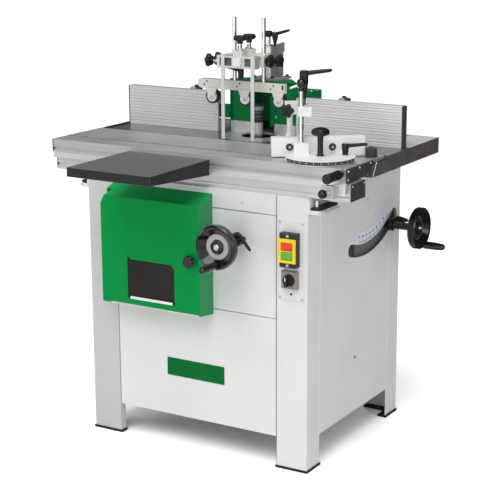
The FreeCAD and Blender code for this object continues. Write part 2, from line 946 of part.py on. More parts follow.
def right_side_panel():
    rim = ("half_x - sheet", "half_x + knockout_proud")
    knockout = tube("x", ("knockout_y", "knockout_z"), rim,
                    "knockout_radius", "knockout_radius - knockout_rim")
    panel = cut(side_panel(1), *tilt_slot(past(("half_x - sheet", "half_x"))))
    return fuse(panel, knockout)


def rear_panel():
    face = block(("-panel_half", "panel_half"), ("half_y - sheet", "half_y"),
                 ("panel_bottom", "underside"))
    vents = []
    for index in range(VENT_SLOT_COUNT):
        bottom = f"vent_z + {index} * vent_pitch"
        vents.append(block(("-vent_length / 2", "vent_length / 2"),
                           past(("half_y - sheet", "half_y")), (bottom, f"{bottom} + vent_height")))
    inlet = ("gland_x", "gland_z")
    gland = turned("y", ("gland_x", "half_y - sheet", "gland_z"), (
        ("gland_bore", "-sheet"),
        ("gland_radius", "-sheet"),
        ("gland_radius", "gland_length / 2"),
        ("gland_radius - sheet", "gland_length / 2"),
        ("gland_radius - sheet", "gland_length"),
        ("gland_bore", "gland_length"),
    ))
    hole = rod("y", inlet, past(("half_y - sheet", "half_y")), "gland_bore")
    return fuse(cut(face, hole, *vents), gland)


# Table, guide rail and sliding table

def machine_table():
    ledge_front = "-table_front - table_ledge"
    casting = prism("x", (
        ("half_y", "underside"),
        ("half_y", "table_height - table_edge_chamfer"),
        ("half_y - table_edge_chamfer", "table_height"),
        ("-table_front", "table_height"),
        ("-table_front", "table_height - table_ledge_drop"),
        (ledge_front, "table_height - table_ledge_drop"),
        (ledge_front, "underside"),
    ), ("-table_half", "table_half"))
    roof = "table_height - table_plate"
    pocket = block(("-table_half + table_rim", "table_half - table_rim"),
                   ("-table_front + table_rim", "half_y - table_rim"), ("underside - overrun", roof))
    axis = ("spindle_x", "spindle_y")
    boss = rod("z", axis, ("underside", roof), "opening_radius + opening_wall")
    inside = block(("-table_half + table_rim", "table_half - table_rim"),
                   ("-table_front", "half_y - table_rim"), ("underside", roof))
    ribs = [block(around(centre, "table_rib / 2"), ("-table_front", "half_y - table_rim"),
                  ("underside", roof))
            for centre in ("cradle_left - guide_plate / 2", "cradle_right + guide_plate / 2")]
    hole = rod("z", axis, past(("underside", "table_height")), "opening_radius")
    recess = rod("z", axis, ("table_height - opening_recess", "table_height + overrun"),
                 "opening_recess_radius")
    return cut(fuse(cut(casting, pocket), shared(boss, inside), *ribs), hole, recess)


def guide_rail():
    span = ("-rail_left", "rail_right")
    beam = block(span, ("-rail_front", "-rail_rear"), ("front_height", "rail_top"))
    chamber = ("front_height + rail_wall", "rail_top - rail_wall")
    middle = "(rail_front + rail_rear) / 2"
    hollow = past(span)
    front_wall = "-rail_front + rail_wall + slider_groove_depth"
    rooms = [
        block(hollow, (front_wall, f"-{middle} - rail_wall / 2"), chamber),
        block(hollow, (f"-{middle} + rail_wall / 2", "-rail_rear - rail_wall"), chamber),
    ]
    groove = block(hollow, ("-rail_front - overrun", "-rail_front + slider_groove_depth"),
                   around("rail_groove_z", "slider_groove / 2"))
    return cut(beam, groove, *rooms)


def sliding_table():
    leg = "table_height - slider_leg"
    skirt = "table_height - slider_skirt"
    inner = "front + slider_skirt_wall"
    boss = ("-tslot_y - tslot_undercut / 2 - tslot_wall", "-tslot_y + tslot_undercut / 2 + tslot_wall")
    boss_z = "table_height - tslot_depth - tslot_wall"
    profile = prism("x", (
        ("front", "table_height"),
        ("-slider_rear", "table_height"),
        ("-slider_rear", "table_height - slider_flange"),
        ("-slider_body_rear", "table_height - slider_flange"),
        ("-slider_body_rear", leg),
        ("-slider_body_rear - slider_leg_wall", leg),
        ("-slider_body_rear - slider_leg_wall", "slider_under"),
        (boss[1], "slider_under"),
        (boss[1], boss_z),
        (boss[0], boss_z),
        (boss[0], "slider_under"),
        (inner, "slider_under"),
        (inner, skirt),
        ("front", skirt),
    ), ("-slider_left", "slider_right"))
    length = past(("-slider_left", "slider_right"))
    slot = block(length, around("-tslot_y", "tslot_width / 2"),
                 ("table_height - tslot_mouth - overrun", "table_height + overrun"))
    undercut = block(length, around("-tslot_y", "tslot_undercut / 2"),
                     ("table_height - tslot_depth", "table_height - tslot_mouth"))
    groove = block(length, ("front - overrun", "front + slider_groove_depth"),
                   around("slider_groove_z", "slider_groove / 2"))
    return cut(profile, slot, undercut, groove)


def carriage_shoes():
    """Four shoes under the sliding table that run on the guide rail."""
    inner = "front + slider_skirt_wall"
    y = (f"{inner} + moving_gap", f"{inner} + moving_gap + shoe_width")
    z = ("rail_top + moving_gap", "slider_under")
    shoes = []
    for side in SIDES:
        for share in SHOE_SHARES:
            centre = f"{side * share} * shoe_x"
            shoes.append(block(around(centre, "shoe_length / 2"), y, z))
    return group(*shoes)


def extension_table():
    """A folded tray that hangs on the front of the sliding table."""
    front_low = "extension_top - extension_lip"
    rear_low = "extension_top - extension_rear_lip"
    shell = prism("x", (
        ("-extension_front", "extension_top"),
        ("front", "extension_top"),
        ("front", rear_low),
        ("-extension_front", front_low),
    ), ("-extension_left", "extension_right"))
    inside = ("extension_top - extension_rear_lip - overrun", "extension_top - extension_wall")
    hollow = block(("-extension_left + extension_wall", "extension_right - extension_wall"),
                   ("-extension_front + extension_wall", "front - extension_wall"), inside)
    return cut(shell, hollow)


def push_handle():
    tip = "handle_neck_length + handle_length"
    return turned("y", ("handle_x", f"front - ({tip})", "handle_z"), (
        ("0", "0"),
        ("handle_radius * handle_tip_share", "0"),
        ("handle_radius", "handle_radius * handle_round_share"),
        ("handle_radius * handle_waist_share", "handle_length / 2"),
        ("handle_radius", "handle_length - handle_radius / 2"),
        ("handle_radius * handle_root_share", "handle_length"),
        ("handle_neck", "handle_length"),
        ("handle_neck", tip),
        ("0", tip),
    ))


def lock_block():
    """The block on the sliding table's skirt that the lock pin slides in."""
    x = around("lock_x", "lock_block_width / 2")
    z = around("lock_z", "lock_block_height / 2")
    solid = block(x, ("front - lock_block_depth", "front"), z)
    bore = rod("y", ("lock_x", "lock_z"), past(("front - lock_block_depth", "front")),
               "lock_pin_radius + running_gap")
    return cut(solid, bore)


def lock_plunger():
    face = "front - lock_block_depth - moving_gap"
    collar = f"{face} - lock_collar_length"
    axis = ("lock_x", "lock_z")
    return fuse(
        rod("y", axis, (collar, "front - moving_gap"), "lock_pin_radius"),
        rod("y", axis, (collar, face), "lock_collar_radius"),
        ball(("lock_x", f"{collar} - lock_ball_radius / 2", "lock_z"), "lock_ball_radius"),
    )


def stop_tongue(side, inner, inset, span):
    """A flat piece beside the cabinet with its outer front corner rounded."""
    outer = f"half_x + stop_reach - {inset}"
    nose = f"front + {inset}"
    tail = f"front + stop_length - {inset}"
    corner = f"(stop_corner - {inset})"
    return fuse(
        block(beside(side, inner, f"{outer} - {corner}"), (nose, tail), span),
        block(beside(side, inner, outer), (f"{nose} + {corner}", tail), span),
        rod("z", (f"{side} * ({outer} - {corner})", f"{nose} + {corner}"), span, corner),
    )


def stop_brackets():
    """An angle bracket on each side of the cabinet, with a rubber pad that stops the table."""
    stops = []
    for side in SIDES:
        plate_top = "stop_z + stop_plate"
        plate = stop_tongue(side, "half_x", "0", ("stop_z", plate_top))
        tab = block(beside(side, "half_x", "half_x + stop_plate"), ("front", "front + stop_length"),
                    ("stop_z", "stop_z + stop_tab"))
        pad = stop_tongue(side, "half_x + stop_plate + moving_gap", "stop_pad_inset",
                          (plate_top, f"{plate_top} + stop_pad_height"))
        stops += [fuse(plate, tab), pad]
    return group(*stops)


# Mitre gauge

def in_gauge(shape):
    """Turns a piece made about the gauge's pivot into its place on the table."""
    return place(shape, ("mitre_x", "-tslot_y", "0"), Rotation(Vector(0, 0, 1), number("mitre_angle_deg")))


def mitre_plate():
    pivot = ("0", "0")
    disc = rod("z", pivot, ("mitre_base", "mitre_top"), "mitre_disc_radius")
    keep = block(("-mitre_disc_radius", "mitre_disc_radius"), ("-mitre_disc_radius", "mitre_fence_y"),
                 ("mitre_base", "mitre_top"))
    nut_top = "table_height - tslot_mouth - moving_gap"
    nut = rod("z", pivot, (f"{nut_top} - mitre_nut_height", nut_top), "mitre_nut_radius")
    spigot = rod("z", pivot, (nut_top, "mitre_base"), "mitre_spigot_radius")
    bore = rod("z", pivot, ("mitre_top - mitre_screw_depth - overrun", "mitre_top + overrun"),
               "mitre_screw_radius + running_gap")
    lever_bore = rod("z", ("mlever_x", "mlever_y"), past(("mitre_base", "mitre_top")),
                     "mitre_screw_radius + running_gap")
    base = block(around("-post_x", "post_base_half"), ("post_y - post_base_front", "mitre_fence_y"),
                 ("mitre_top", "mitre_top + post_base_height"))
    socket = rod("z", ("-post_x", "post_y"), ("mitre_top", "mitre_top + post_base_height + overrun"),
                 "post_radius")
    return in_gauge(cut(fuse(shared(disc, keep), nut, spigot, base), bore, lever_bore, socket))


def mitre_fence():
    x = ("-mitre_fence_length / 2", "mitre_fence_length / 2")
    y = ("mitre_fence_y", "mitre_fence_y + mitre_fence_depth")
    beam = block(x, y, ("mitre_fence_base", "mitre_fence_top"))
    room = block(past(x), ("mitre_fence_y + 3 * mitre_fence_wall", f"{y[1]} + overrun"),
                 ("mitre_fence_base + mitre_fence_wall", "mitre_fence_top - mitre_fence_lip"))
    return in_gauge(cut(beam, room))


def clamp_post():
    bar = rod("z", ("-post_x", "post_y"), ("mitre_top", "mitre_top + post_height"), "post_radius")
    return in_gauge(group(bar))


def mitre_handle():
    foot = "moving_gap"
    head = "thandle_height - thandle_head_height"
    return turned("z", ("mitre_x", "-tslot_y", "mitre_top"), (
        ("0", "-mitre_screw_depth"),
        ("mitre_screw_radius", "-mitre_screw_depth"),
        ("mitre_screw_radius", foot),
        ("thandle_stem_radius", foot),
        ("thandle_stem_radius * thandle_waist_share", f"({head}) / 2"),
        ("thandle_stem_radius", head),
        ("thandle_head_radius * thandle_under_share", head),
        ("thandle_head_radius", f"{head} + thandle_head_height * thandle_low_share"),
        ("thandle_head_radius", f"{head} + thandle_head_height * thandle_high_share"),
        ("thandle_head_radius * thandle_crown_share", "thandle_height"),
        ("0", "thandle_height"),
    ))


def mitre_lever():
    axis = ("mlever_x", "mlever_y")
    base = "mitre_top + moving_gap"
    arm_z = f"{base} + mlever_hub_height - mlever_radius * mlever_drop_share"
    hub = rod("z", axis, (base, f"{base} + mlever_hub_height"), "mlever_hub_radius",
              "mlever_hub_radius * mlever_hub_share")
    screw = rod("z", axis, ("mitre_base", base), "mitre_screw_radius")
    arm = rod("x", ("mlever_y", arm_z), ("mlever_x", "mlever_x + mlever_length"),
              "mlever_radius", "mlever_radius * mlever_taper_share")
    tip = ball(("mlever_x + mlever_length", "mlever_y", arm_z), "mlever_radius * mlever_tip_share")
    return in_gauge(fuse(hub, screw, arm, tip))


def clamp_arm():
    """The block on the post with the arm, the pressing rod and the screw that carries the lever."""
    axis = ("-post_x", "post_y")
    z = ("arm_block_z", "arm_top")
    body = block(around("arm_block_shift - post_x", "arm_block / 2"), ("post_y - arm_block / 2", "arm_y"), z)
    arm = block(("arm_rod_x - arm_width / 2", "arm_block_shift - post_x + arm_block / 2"),
                ("arm_y", "arm_y + arm_reach"), ("arm_block_z", "arm_block_z + arm_height"))
    rod_axis = ("arm_rod_x", "arm_rod_y")
    rod_low = "arm_block_z - arm_rod_length"
    press = rod("z", rod_axis, (rod_low, "arm_block_z"), "arm_rod_radius")
    foot = rod("z", rod_axis, (f"{rod_low} - arm_foot", rod_low), "arm_foot_radius",
               "arm_foot_radius * arm_foot_share")
    seat = "arm_block_z + arm_height"
    pin = rod("z", ("arm_pin_x", "arm_pin_y"), ("arm_block_z", f"{seat} + clever_hub_height / 2"),
              "arm_pin_radius")
    bore = rod("z", axis, past(z), "post_radius + running_gap")
    return in_gauge(cut(fuse(body, arm, press, foot, pin), bore))


def clamp_lever():
    """The long cam lever that presses the arm down."""
    axis = ("arm_pin_x", "arm_pin_y")
    low = "arm_block_z + arm_height + moving_gap"
    high = f"{low} + clever_hub_height"
    hub = rod("z", axis, (low, high), "clever_hub_radius", "clever_hub_radius * clever_hub_share")
    bore = rod("z", axis, (f"{low} - overrun", f"{low} + clever_hub_height / 2"),
               "arm_pin_radius + running_gap")
    arm_z = f"{high} - clever_radius"
    arm = rod("x", (axis[1], arm_z), (axis[0], f"{axis[0]} + clever_length"),
              "clever_radius", "clever_radius * clever_taper_share")
    tip = ball((f"{axis[0]} + clever_length", axis[1], arm_z), "clever_radius * clever_tip_share")
    return in_gauge(cut(fuse(hub, arm, tip), bore))


# Fence and chip hood

def fence_plate(span):
    """An extruded fence plate with fine grooves along its face and an open back."""
    face = block(span, ("spindle_y", "fence_back"), ("fence_base", "fence_top"))
    back = block(past(span), ("spindle_y + 2 * fence_wall", "fence_back + overrun"),
                 ("carrier_z - fence_wall", "carrier_z + carrier_height + fence_wall"))
    grooves = []
    for index in range(FENCE_GROOVE_COUNT):
        z = f"fence_base + {index + 1} * fence_groove_pitch"
        grooves.append(block(past(span), ("spindle_y - overrun", "spindle_y + fence_groove_depth"),
                             (z, f"{z} + fence_groove")))
    return cut(face, back, *grooves)


def left_fence():
    return fence_plate(("-fence_left_end", "-fence_gap_left"))


def right_fence():
    return fence_plate(("fence_gap_right", "fence_right_end"))


def hood_crown(inset, span):
    """The upper part of the hood, whose sides draw in towards its rear."""
    front_y = "hood_front" if inset == "0" else "hood_front - overrun"
    rear_y = f"hood_crown_rear - {inset}"
    return prism("z", (
        (f"hood_left + {inset}", front_y),
        (f"hood_right - {inset}", front_y),
        (f"hood_right - hood_crown_taper - {inset}", rear_y),
        (f"hood_left + hood_crown_taper + {inset}", rear_y),
    ), span)


def fence_hood():
    """Sheet-metal chip hood with its duct, hose spigot and the bars that carry the fences."""
    x = ("hood_left", "hood_right")
    y = ("hood_front", "hood_rear")
    inner_x = ("hood_left + hood_sheet", "hood_right - hood_sheet")
    inner_y = ("hood_front - overrun", "hood_rear - hood_sheet")
    outer = fuse(block(x, y, ("table_height", "hood_step")),
                 hood_crown("0", ("hood_step", "hood_top")))
    room = fuse(block(inner_x, inner_y, ("table_height - overrun", "hood_step - hood_sheet")),
                hood_crown("hood_sheet", ("hood_step - 2 * hood_sheet", "hood_top - hood_sheet")))
    shell = cut(outer, room)
    shutter_y = ("hood_shutter_y", "hood_shutter_y + hood_sheet")
    shutter_z = ("table_height", "hood_top - hood_sheet")
    shutters = [
        block((inner_x[0], "spindle_x - hood_mouth"), shutter_y, shutter_z),
        block(("spindle_x + hood_mouth", inner_x[1]), shutter_y, shutter_z),
    ]
    duct_x = around("spindle_x", "duct_half")
    duct_y = ("hood_rear - hood_sheet", "duct_rear")
    duct_room = block(("spindle_x - duct_half + hood_sheet", "spindle_x + duct_half - hood_sheet"),
                      ("hood_rear - 2 * hood_sheet", "duct_rear - hood_sheet"),
                      ("duct_bottom + hood_sheet", "duct_top - hood_sheet"))
    duct = block(duct_x, duct_y, ("duct_bottom", "duct_top"))
    axis = ("spindle_x", "duct_middle")
    port = rod("y", axis, ("duct_rear - hood_sheet", "duct_rear + port_length"), "port_radius + port_wall")
    port_room = rod("y", axis, ("duct_rear - 2 * hood_sheet", "duct_rear + port_length + overrun"),
                    "port_radius")
    arm_y = ("fence_back - fence_wall", "fence_back - fence_wall + carrier_depth")
    arm_z = ("carrier_z", "carrier_z + carrier_height")
    carriers = [
        block(("hood_left - carrier_reach", "hood_left"), arm_y, arm_z),
        block(("hood_right", "hood_right + carrier_reach"), arm_y, arm_z),
    ]
    return cut(fuse(shell, *shutters, duct, port, *carriers), duct_room, port_room)


def hood_skirt():
    """Bright plates at the foot of the hood and the ring that lies in the table's opening."""
    z = ("table_height", "table_height + hood_skirt_height")
    plate_y = ("hood_shutter_y - hood_sheet", "hood_shutter_y")
    left = ("hood_left + hood_sheet", "spindle_x - hood_mouth")
    right = ("spindle_x + hood_mouth", "hood_right - hood_sheet")
    jamb_y = ("hood_front", "hood_shutter_y - hood_sheet")
    return group(
        fuse(block(left, plate_y, z), block((left[0], f"{left[0]} + hood_sheet"), jamb_y, z)),
        fuse(block(right, plate_y, z), block((f"{right[1]} - hood_sheet", right[1]), jamb_y, z)),
        tube("z", ("spindle_x", "spindle_y"), ("table_height - opening_recess", "table_height"),
             "opening_recess_radius - moving_gap", "ring_bore"),
    )


# Hold-down unit

def head(y, hole_gap):
    """A cross head on the beam, with a pocket in the front of each half."""
    span_y = around(y, "head_depth / 2")
    z = ("head_bottom", "head_top")
    body = fuse(block(("spindle_x - head_left", "spindle_x + head_right"), span_y, z),
                block(around("spindle_x", "boss_half"), span_y, ("head_top", "boss_top")))
    beam_hole = block((f"beam_left - {hole_gap}", f"beam_right + {hole_gap}"), past(span_y),
                      (f"beam_z - {hole_gap}", f"beam_top + {hole_gap}"))
    pocket_z = ("head_bottom + head_pocket_wall", "head_top - head_pocket_wall")
    pockets = []
    for side in SIDES:
        end = "head_right" if side > 0 else "head_left"
        near = f"spindle_x + {side} * (beam_section / 2 + head_pocket_wall * head_pocket_share)"
        far = f"spindle_x + {side} * ({end} - head_pocket_wall * head_pocket_share)"
        x = (near, far) if side > 0 else (far, near)
        pockets.append(block(x, (f"{span_y[0]} - overrun", f"{span_y[0]} + head_pocket / 2"), pocket_z))
    return cut(body, beam_hole, *pockets)


def hold_down_frame():
    foot = block(around("spindle_x", "foot_plate_half"), ("foot_plate_front", "foot_plate_rear"),
                 ("hood_top", "foot_top"))
    column = block(("beam_left", "beam_right"), ("bracket_y", "bracket_y + bracket_depth"),
                   ("foot_top", "bracket_top"))
    beam = block(("beam_left", "beam_right"), ("-beam_front", "bracket_y"), ("beam_z", "beam_top"))
    bores = [rod("z", (f"spindle_x + {side} * press_rod_half", "rod_head_y"),
                 past(("head_bottom", "head_top")), "press_rod_radius + running_gap") for side in SIDES]
    sockets = [
        rod("z", ("spindle_x", "rod_head_y"), ("beam_top - overrun", "boss_top + overrun"),
            "knob_screw_radius + running_gap"),
        rod("x", ("rod_head_y", "head_middle"), ("spindle_x - head_left - overrun",
            "spindle_x - head_left + knob_screw + overrun"), "knob_screw_radius + running_gap"),
    ]
    rod_head = cut(head("rod_head_y", "0"), *bores, *sockets)
    return group(fuse(foot, column, beam), rod_head)


def pressure_rods():
    return group(*[rod("z", (f"spindle_x + {side} * press_rod_half", "rod_head_y"),
                       ("bar_top", "press_rod_top"), "press_rod_radius") for side in SIDES])


def roller_x(index):
    return f"roller_middle_x + {index} * roller_pitch"


def roller_bar():
    """The bar that carries three pressure rollers on ears and pins."""
    half = "bar_height / 2"
    y = ("bar_front", "bar_rear")
    pieces = [
        block((f"-bar_left + {half}", "bar_right"), y, ("bar_bottom", "bar_top")),
        rod("y", (f"-bar_left + {half}", f"bar_bottom + {half}"), y, half),
    ]
    for index in ROLLER_PLACES:
        x = roller_x(index)
        nose = "roller_pin_radius * roller_ear_share"
        pieces.append(prism("y", (
            (f"{x} - roller_ear_half", "bar_bottom + roller_ear"),
            (f"{x} + roller_ear_half", "bar_bottom + roller_ear"),
            (f"{x} + {nose}", f"roller_z - {nose}"),
            (f"{x} - {nose}", f"roller_z - {nose}"),
        ), ("bar_front - roller_ear", "bar_front")))
        pieces.append(rod("y", (x, "roller_z"), ("bar_front - roller_ear", "roller_front + roller_width"),
                          "roller_pin_radius"))
    return fuse(*pieces)


def pressure_roller(index):
    """A rubber-tyred roller with a hub that stands a little proud at the back."""
    width = "roller_width"
    return turned("y", (roller_x(index), "roller_front", "roller_z"), (
        ("roller_pin_radius + running_gap", "0"),
        ("roller_hub_radius", "0"),
        ("roller_hub_radius", "roller_hub_proud"),
        ("roller_radius - roller_hub_proud", "roller_hub_proud"),
        ("roller_radius", "roller_hub_proud * 2"),
        ("roller_radius", f"{width} - roller_hub_proud * 2"),
        ("roller_radius - roller_hub_proud", f"{width} - roller_hub_proud"),
        ("roller_hub_radius", f"{width} - roller_hub_proud"),
        ("roller_hub_radius", width),
        ("roller_pin_radius + running_gap", width),
    ))


def pressure_bars():
    """The front cross head with the two flat bars that hang in front of the spindle."""
    face = "-bar_head_y - head_depth / 2"
    bars = [block(around(f"spindle_x + {side} * flat_bar_half", "flat_bar_width / 2"),
                  (f"{face} - flat_bar", face), ("flat_bar_bottom", "flat_bar_top")) for side in SIDES]
    sockets = [
        rod("z", ("spindle_x", "-bar_head_y"), ("beam_top - overrun", "boss_top + overrun"),
            "knob_screw_radius + running_gap"),
        rod("x", ("-bar_head_y", "head_middle"), ("spindle_x - head_left - overrun",
            "spindle_x - head_left + knob_screw + overrun"), "knob_screw_radius + running_gap"),
    ]
    return fuse(cut(head("-bar_head_y", "moving_gap"), *sockets), *bars)


def star_knob(axis, at, sign):
    """A lobed clamp knob whose screw points back along the axis, away from the sign."""
    along = at["xyz".index(axis)]
    across = [text for index, text in enumerate(at) if index != "xyz".index(axis)]

    def reach(low, high):
        first, second = f"{along} + {sign} * ({low})", f"{along} + {sign} * ({high})"
        return (first, second) if sign > 0 else (second, first)

    base = "moving_gap + knob_stem"
    screw_end = "moving_gap - knob_screw"
    step = "knob_stem_radius * knob_step_share"
    pieces = [
        rod(axis, across, reach(screw_end, "moving_gap"), "knob_screw_radius"),
        rod(axis, across, reach("moving_gap", base), "knob_stem_radius"),
        rod(axis, across, reach(base, f"{base} + knob_height"),
            "knob_radius - knob_lobe_radius * knob_core_share"),
    ]
    for first, second in ring_places(KNOB_LOBE_COUNT, "(knob_radius - knob_lobe_radius)"):
        centre = (f"{across[0]} + {first}", f"{across[1]} + {second}")
        lobe = reach(f"{base} + {step}", f"{base} + knob_height - {step}")
        pieces.append(rod(axis, centre, lobe, "knob_lobe_radius"))
    return fuse(*pieces)


# Tilting cradle

def trunnion_brackets():
    """Plates under the table, each with an arc groove about the tilt axis."""
    brackets = []
    for side in SIDES:
        near, far = "guide_offset + moving_gap", "guide_offset + guide_plate"
        span = (f"spindle_x + {near}", f"spindle_x + {far}") if side > 0 else (
            f"spindle_x - ({far})", f"spindle_x - ({near})")
        band = sector("guide_inner", "guide_outer", "guide_start_deg - guide_flank_deg",
                      "guide_end_deg + guide_flank_deg", span)
        room = block(span, (on_arc("guide_outer", "guide_start_deg - guide_flank_deg")[0],
                            on_arc("guide_outer", "guide_end_deg + guide_flank_deg")[0]),
                     ("table_height - guide_outer", "underside"))
        web = block(span, (on_arc("guide_outer", "guide_start_deg")[0],
                           on_arc("guide_outer", "guide_end_deg")[0]),
                    ("underside - guide_plate", "underside"))
        groove = sector("guide_groove_inner", "guide_groove_outer", "guide_start_deg", "guide_end_deg",
                        past(span))
        brackets.append(cut(shared(fuse(band, web), room), groove))
    return group(*brackets)


def cradle_side(side):
    """One cheek of the cradle with the arc key that runs in the bracket's groove."""
    if side > 0:
        cheek = ("cradle_right - guide_plate", "cradle_right")
        key = ("cradle_right", "cradle_right + guide_plate")
    else:
        cheek = ("cradle_left", "cradle_left + guide_plate")
        key = ("cradle_left - guide_plate", "cradle_left")
    return [
        sector("guide_inner", "guide_outer", "key_start_deg", "key_end_deg", cheek),
        sector("guide_groove_inner + moving_gap", "guide_groove_outer - moving_gap",
               "key_start_deg", "key_end_deg", key),
    ]


def tilt_cradle():
    """Cheeks, back plate with gibs, lift screw lugs, gearbox and slot cover in one casting."""
    back_y = ("cradle_back_y", "cradle_back_y + cradle_back_plate")
    back = block(("cradle_left", "cradle_right"), back_y, ("cradle_back_bottom", "cradle_back_top"))
    pieces = cradle_side(-1) + cradle_side(1) + [back]
    for side in SIDES:
        near = f"spindle_x + {side} * (slide_half + moving_gap)"
        far = f"spindle_x + {side} * (slide_half + moving_gap + cradle_gib)"
        x = (near, far) if side > 0 else (far, near)
        pieces.append(block(x, ("cradle_back_y - cradle_gib_depth", "cradle_back_y"),
                            ("cradle_back_bottom", "cradle_back_top - cradle_gib")))
    lug_y = ("cradle_back_y + cradle_back_plate", "cradle_back_y + cradle_back_plate + screw_lug")
    lug_x = around("spindle_x", "screw_lug / 2")
    lug_low = ("cradle_back_bottom", "cradle_back_bottom + screw_lug_height")
    lug_high = ("cradle_back_top - screw_lug_height", "cradle_back_top")
    screw = rod("z", ("spindle_x", "screw_y"), (lug_low[0], lug_high[1]), "lift_screw_radius")
    gearbox = block(("gearbox_left", "gearbox_right"), around("gear_y", "gearbox_half"),
                    around("gear_z", "gearbox_half"))
    arm = block(("cradle_right - guide_plate", "gearbox_left"),
                ("cradle_back_y", "gear_y + gear_arm_half"), around("gear_z", "gear_arm_half"))
    cover = sector("tilt_radius - cover_half", "tilt_radius + cover_half", "cover_start_deg", "cover_end_deg",
                   ("gearbox_right", "gearbox_right + cover_plate"))
    bore = rod("x", ("gear_y", "gear_z"), past(("gearbox_left", "gearbox_right + cover_plate")),
               "wheel_shaft_radius + running_gap")
    pieces += [block(lug_x, lug_y, lug_low), block(lug_x, lug_y, lug_high), screw, gearbox, arm, cover]
    return cut(fuse(*pieces), bore)


# Lift slide, motor, belt and spindle

def quill_housing():
    """Bored housing on the lift slide, with the plate that carries the motor."""
    axis = ("spindle_x", "spindle_y")
    body = rod("z", axis, ("quill_bottom", "quill_top"), "quill_radius")
    slide = block(around("spindle_x", "slide_half"), ("slide_rear - slide_depth", "slide_rear"),
                  ("slide_bottom", "slide_top"))
    neck = block(around("spindle_x", "quill_radius / 2"), ("spindle_y", "slide_rear - slide_depth"),
                 ("slide_bottom", "quill_top"))
    plate = block(("-motor_plate_left", "motor_plate_right"),
                  ("-motor_plate_front", "slide_rear - slide_depth"),
                  ("motor_seat - motor_plate", "motor_seat"))
    bore = rod("z", axis, past(("motor_seat - motor_plate", "quill_top")),
               "spindle_shaft_radius + running_gap")
    relief = rod("z", axis, ("quill_bottom + quill_land", "quill_top - quill_land"), "quill_relief")
    motor_hole = rod("z", ("-motor_x", "spindle_y"), past(("motor_seat - motor_plate", "motor_seat")),
                     "motor_hub_radius + moving_gap")
    return cut(fuse(body, slide, neck, plate), bore, relief, motor_hole)


def motor():
    """A finned motor that stands on the lift slide's plate."""
    axis = ("-motor_x", "spindle_y")
    core = "motor_radius - motor_fin"
    top = "motor_top - motor_cap"
    pieces = [
        rod("z", axis, ("motor_seat", top), core),
        rod("z", axis, (top, "motor_top"), "motor_radius", "motor_radius * motor_cap_share"),
        rod("z", axis, ("motor_seat", "motor_seat + motor_plate"), "motor_radius"),
    ]
    for index in range(MOTOR_FIN_COUNT - 1):
        low = f"motor_seat + motor_plate + {index} * motor_fin_pitch + motor_fin"
        pieces.append(rod("z", axis, (low, f"{low} + motor_fin"), "motor_radius"))
    stub = rod("z", axis, ("pulley_top - pulley_height / 2", "motor_seat"), "motor_hub_radius / 2")
    return fuse(*pieces, stub)


def pulley_profile(radius, bore, floor):
    """The outline of a flat pulley with a flange above and below the belt."""
    rim = f"{radius} + pulley_flange_proud"
    return (
        (bore, floor),
        (rim, floor),
        (rim, f"{floor} + pulley_flange"),
        (radius, f"{floor} + pulley_flange"),
        (radius, f"{floor} + pulley_height - pulley_flange"),
        (rim, f"{floor} + pulley_height - pulley_flange"),
        (rim, f"{floor} + pulley_height"),
        (bore, f"{floor} + pulley_height"),
    )


def motor_pulley():
    wheel = turned("z", ("-motor_x", "spindle_y", "pulley_bottom"),
                   pulley_profile("motor_pulley_radius", "motor_hub_radius / 2 + running_gap", "0"))
    return wheel


def belt_loop(offset, span):
    """The filled outline of both pulleys grown by an offset."""
    small, large = f"(pulley_radius + {offset})", f"(motor_pulley_radius + {offset})"
    sides = []
    for sign in ("", "-"):
        sides.append((f"spindle_x + {small} * belt_sine", f"spindle_y + {sign}{small} * belt_cosine"))
        sides.append((f"-motor_x + {large} * belt_sine", f"spindle_y + {sign}{large} * belt_cosine"))
    corners = (sides[0], sides[1], sides[3], sides[2])
    return fuse(rod("z", ("spindle_x", "spindle_y"), span, small),
                rod("z", ("-motor_x", "spindle_y"), span, large),
                prism("z", corners, span))


def drive_belt():
    span = ("belt_bottom", "belt_top")
    return cut(belt_loop("moving_gap + belt", span), belt_loop("moving_gap", past(span)))


def spindle():
    """The cutter spindle, turned in one piece with its pulley."""
    collar_top = "spindle_collar_z + spindle_collar"
    profile = (
        ("0", "spindle_bottom"),
        ("spindle_thread_radius", "spindle_bottom"),
        ("spindle_thread_radius", "pulley_bottom"),
        *pulley_profile("pulley_radius", "spindle_thread_radius", "pulley_bottom")[1:-1],
        ("spindle_shaft_radius", "pulley_top"),
        ("spindle_shaft_radius", "spindle_collar_z"),
        ("spindle_collar_radius", "spindle_collar_z"),
        ("spindle_collar_radius", collar_top),
        ("spindle_radius", collar_top),
        ("spindle_radius", "spindle_shoulder_z"),
        ("spindle_thread_radius", "spindle_shoulder_z"),
        ("spindle_thread_radius", "spindle_shoulder_z + spindle_thread"),
        ("0", "spindle_shoulder_z + spindle_thread"),
    )
    return turned("z", ("spindle_x", "spindle_y", "0"), profile)


def spindle_nut():
    """A castellated nut with a socket in its top."""
    low = "spindle_shoulder_z"
    body = turned("z", ("spindle_x", "spindle_y", low), (
        ("spindle_thread_radius", "0"),
        ("nut_flange_radius", "0"),
        ("nut_flange_radius", "nut_flange"),
        ("nut_radius", "nut_flange"),
        ("nut_radius", "nut_height - nut_flange * nut_round_share"),
        ("nut_radius - nut_flange * nut_round_share", "nut_height"),
        ("nut_socket_radius", "nut_height"),
        ("nut_socket_radius", "nut_height - nut_socket"),
        ("spindle_thread_radius", "nut_height - nut_socket"),
    ))
    slots = []
    for first, second in ring_places(NUT_SLOT_COUNT, "nut_radius"):
        centre = (f"spindle_x + {first}", f"spindle_y + {second}")
        slots.append(rod("z", centre, ("nut_top - nut_slot_depth", "nut_top + overrun"),
                         "nut_slot / 2 + sheet"))
    return cut(body, *slots)


# Handwheels and clamp levers

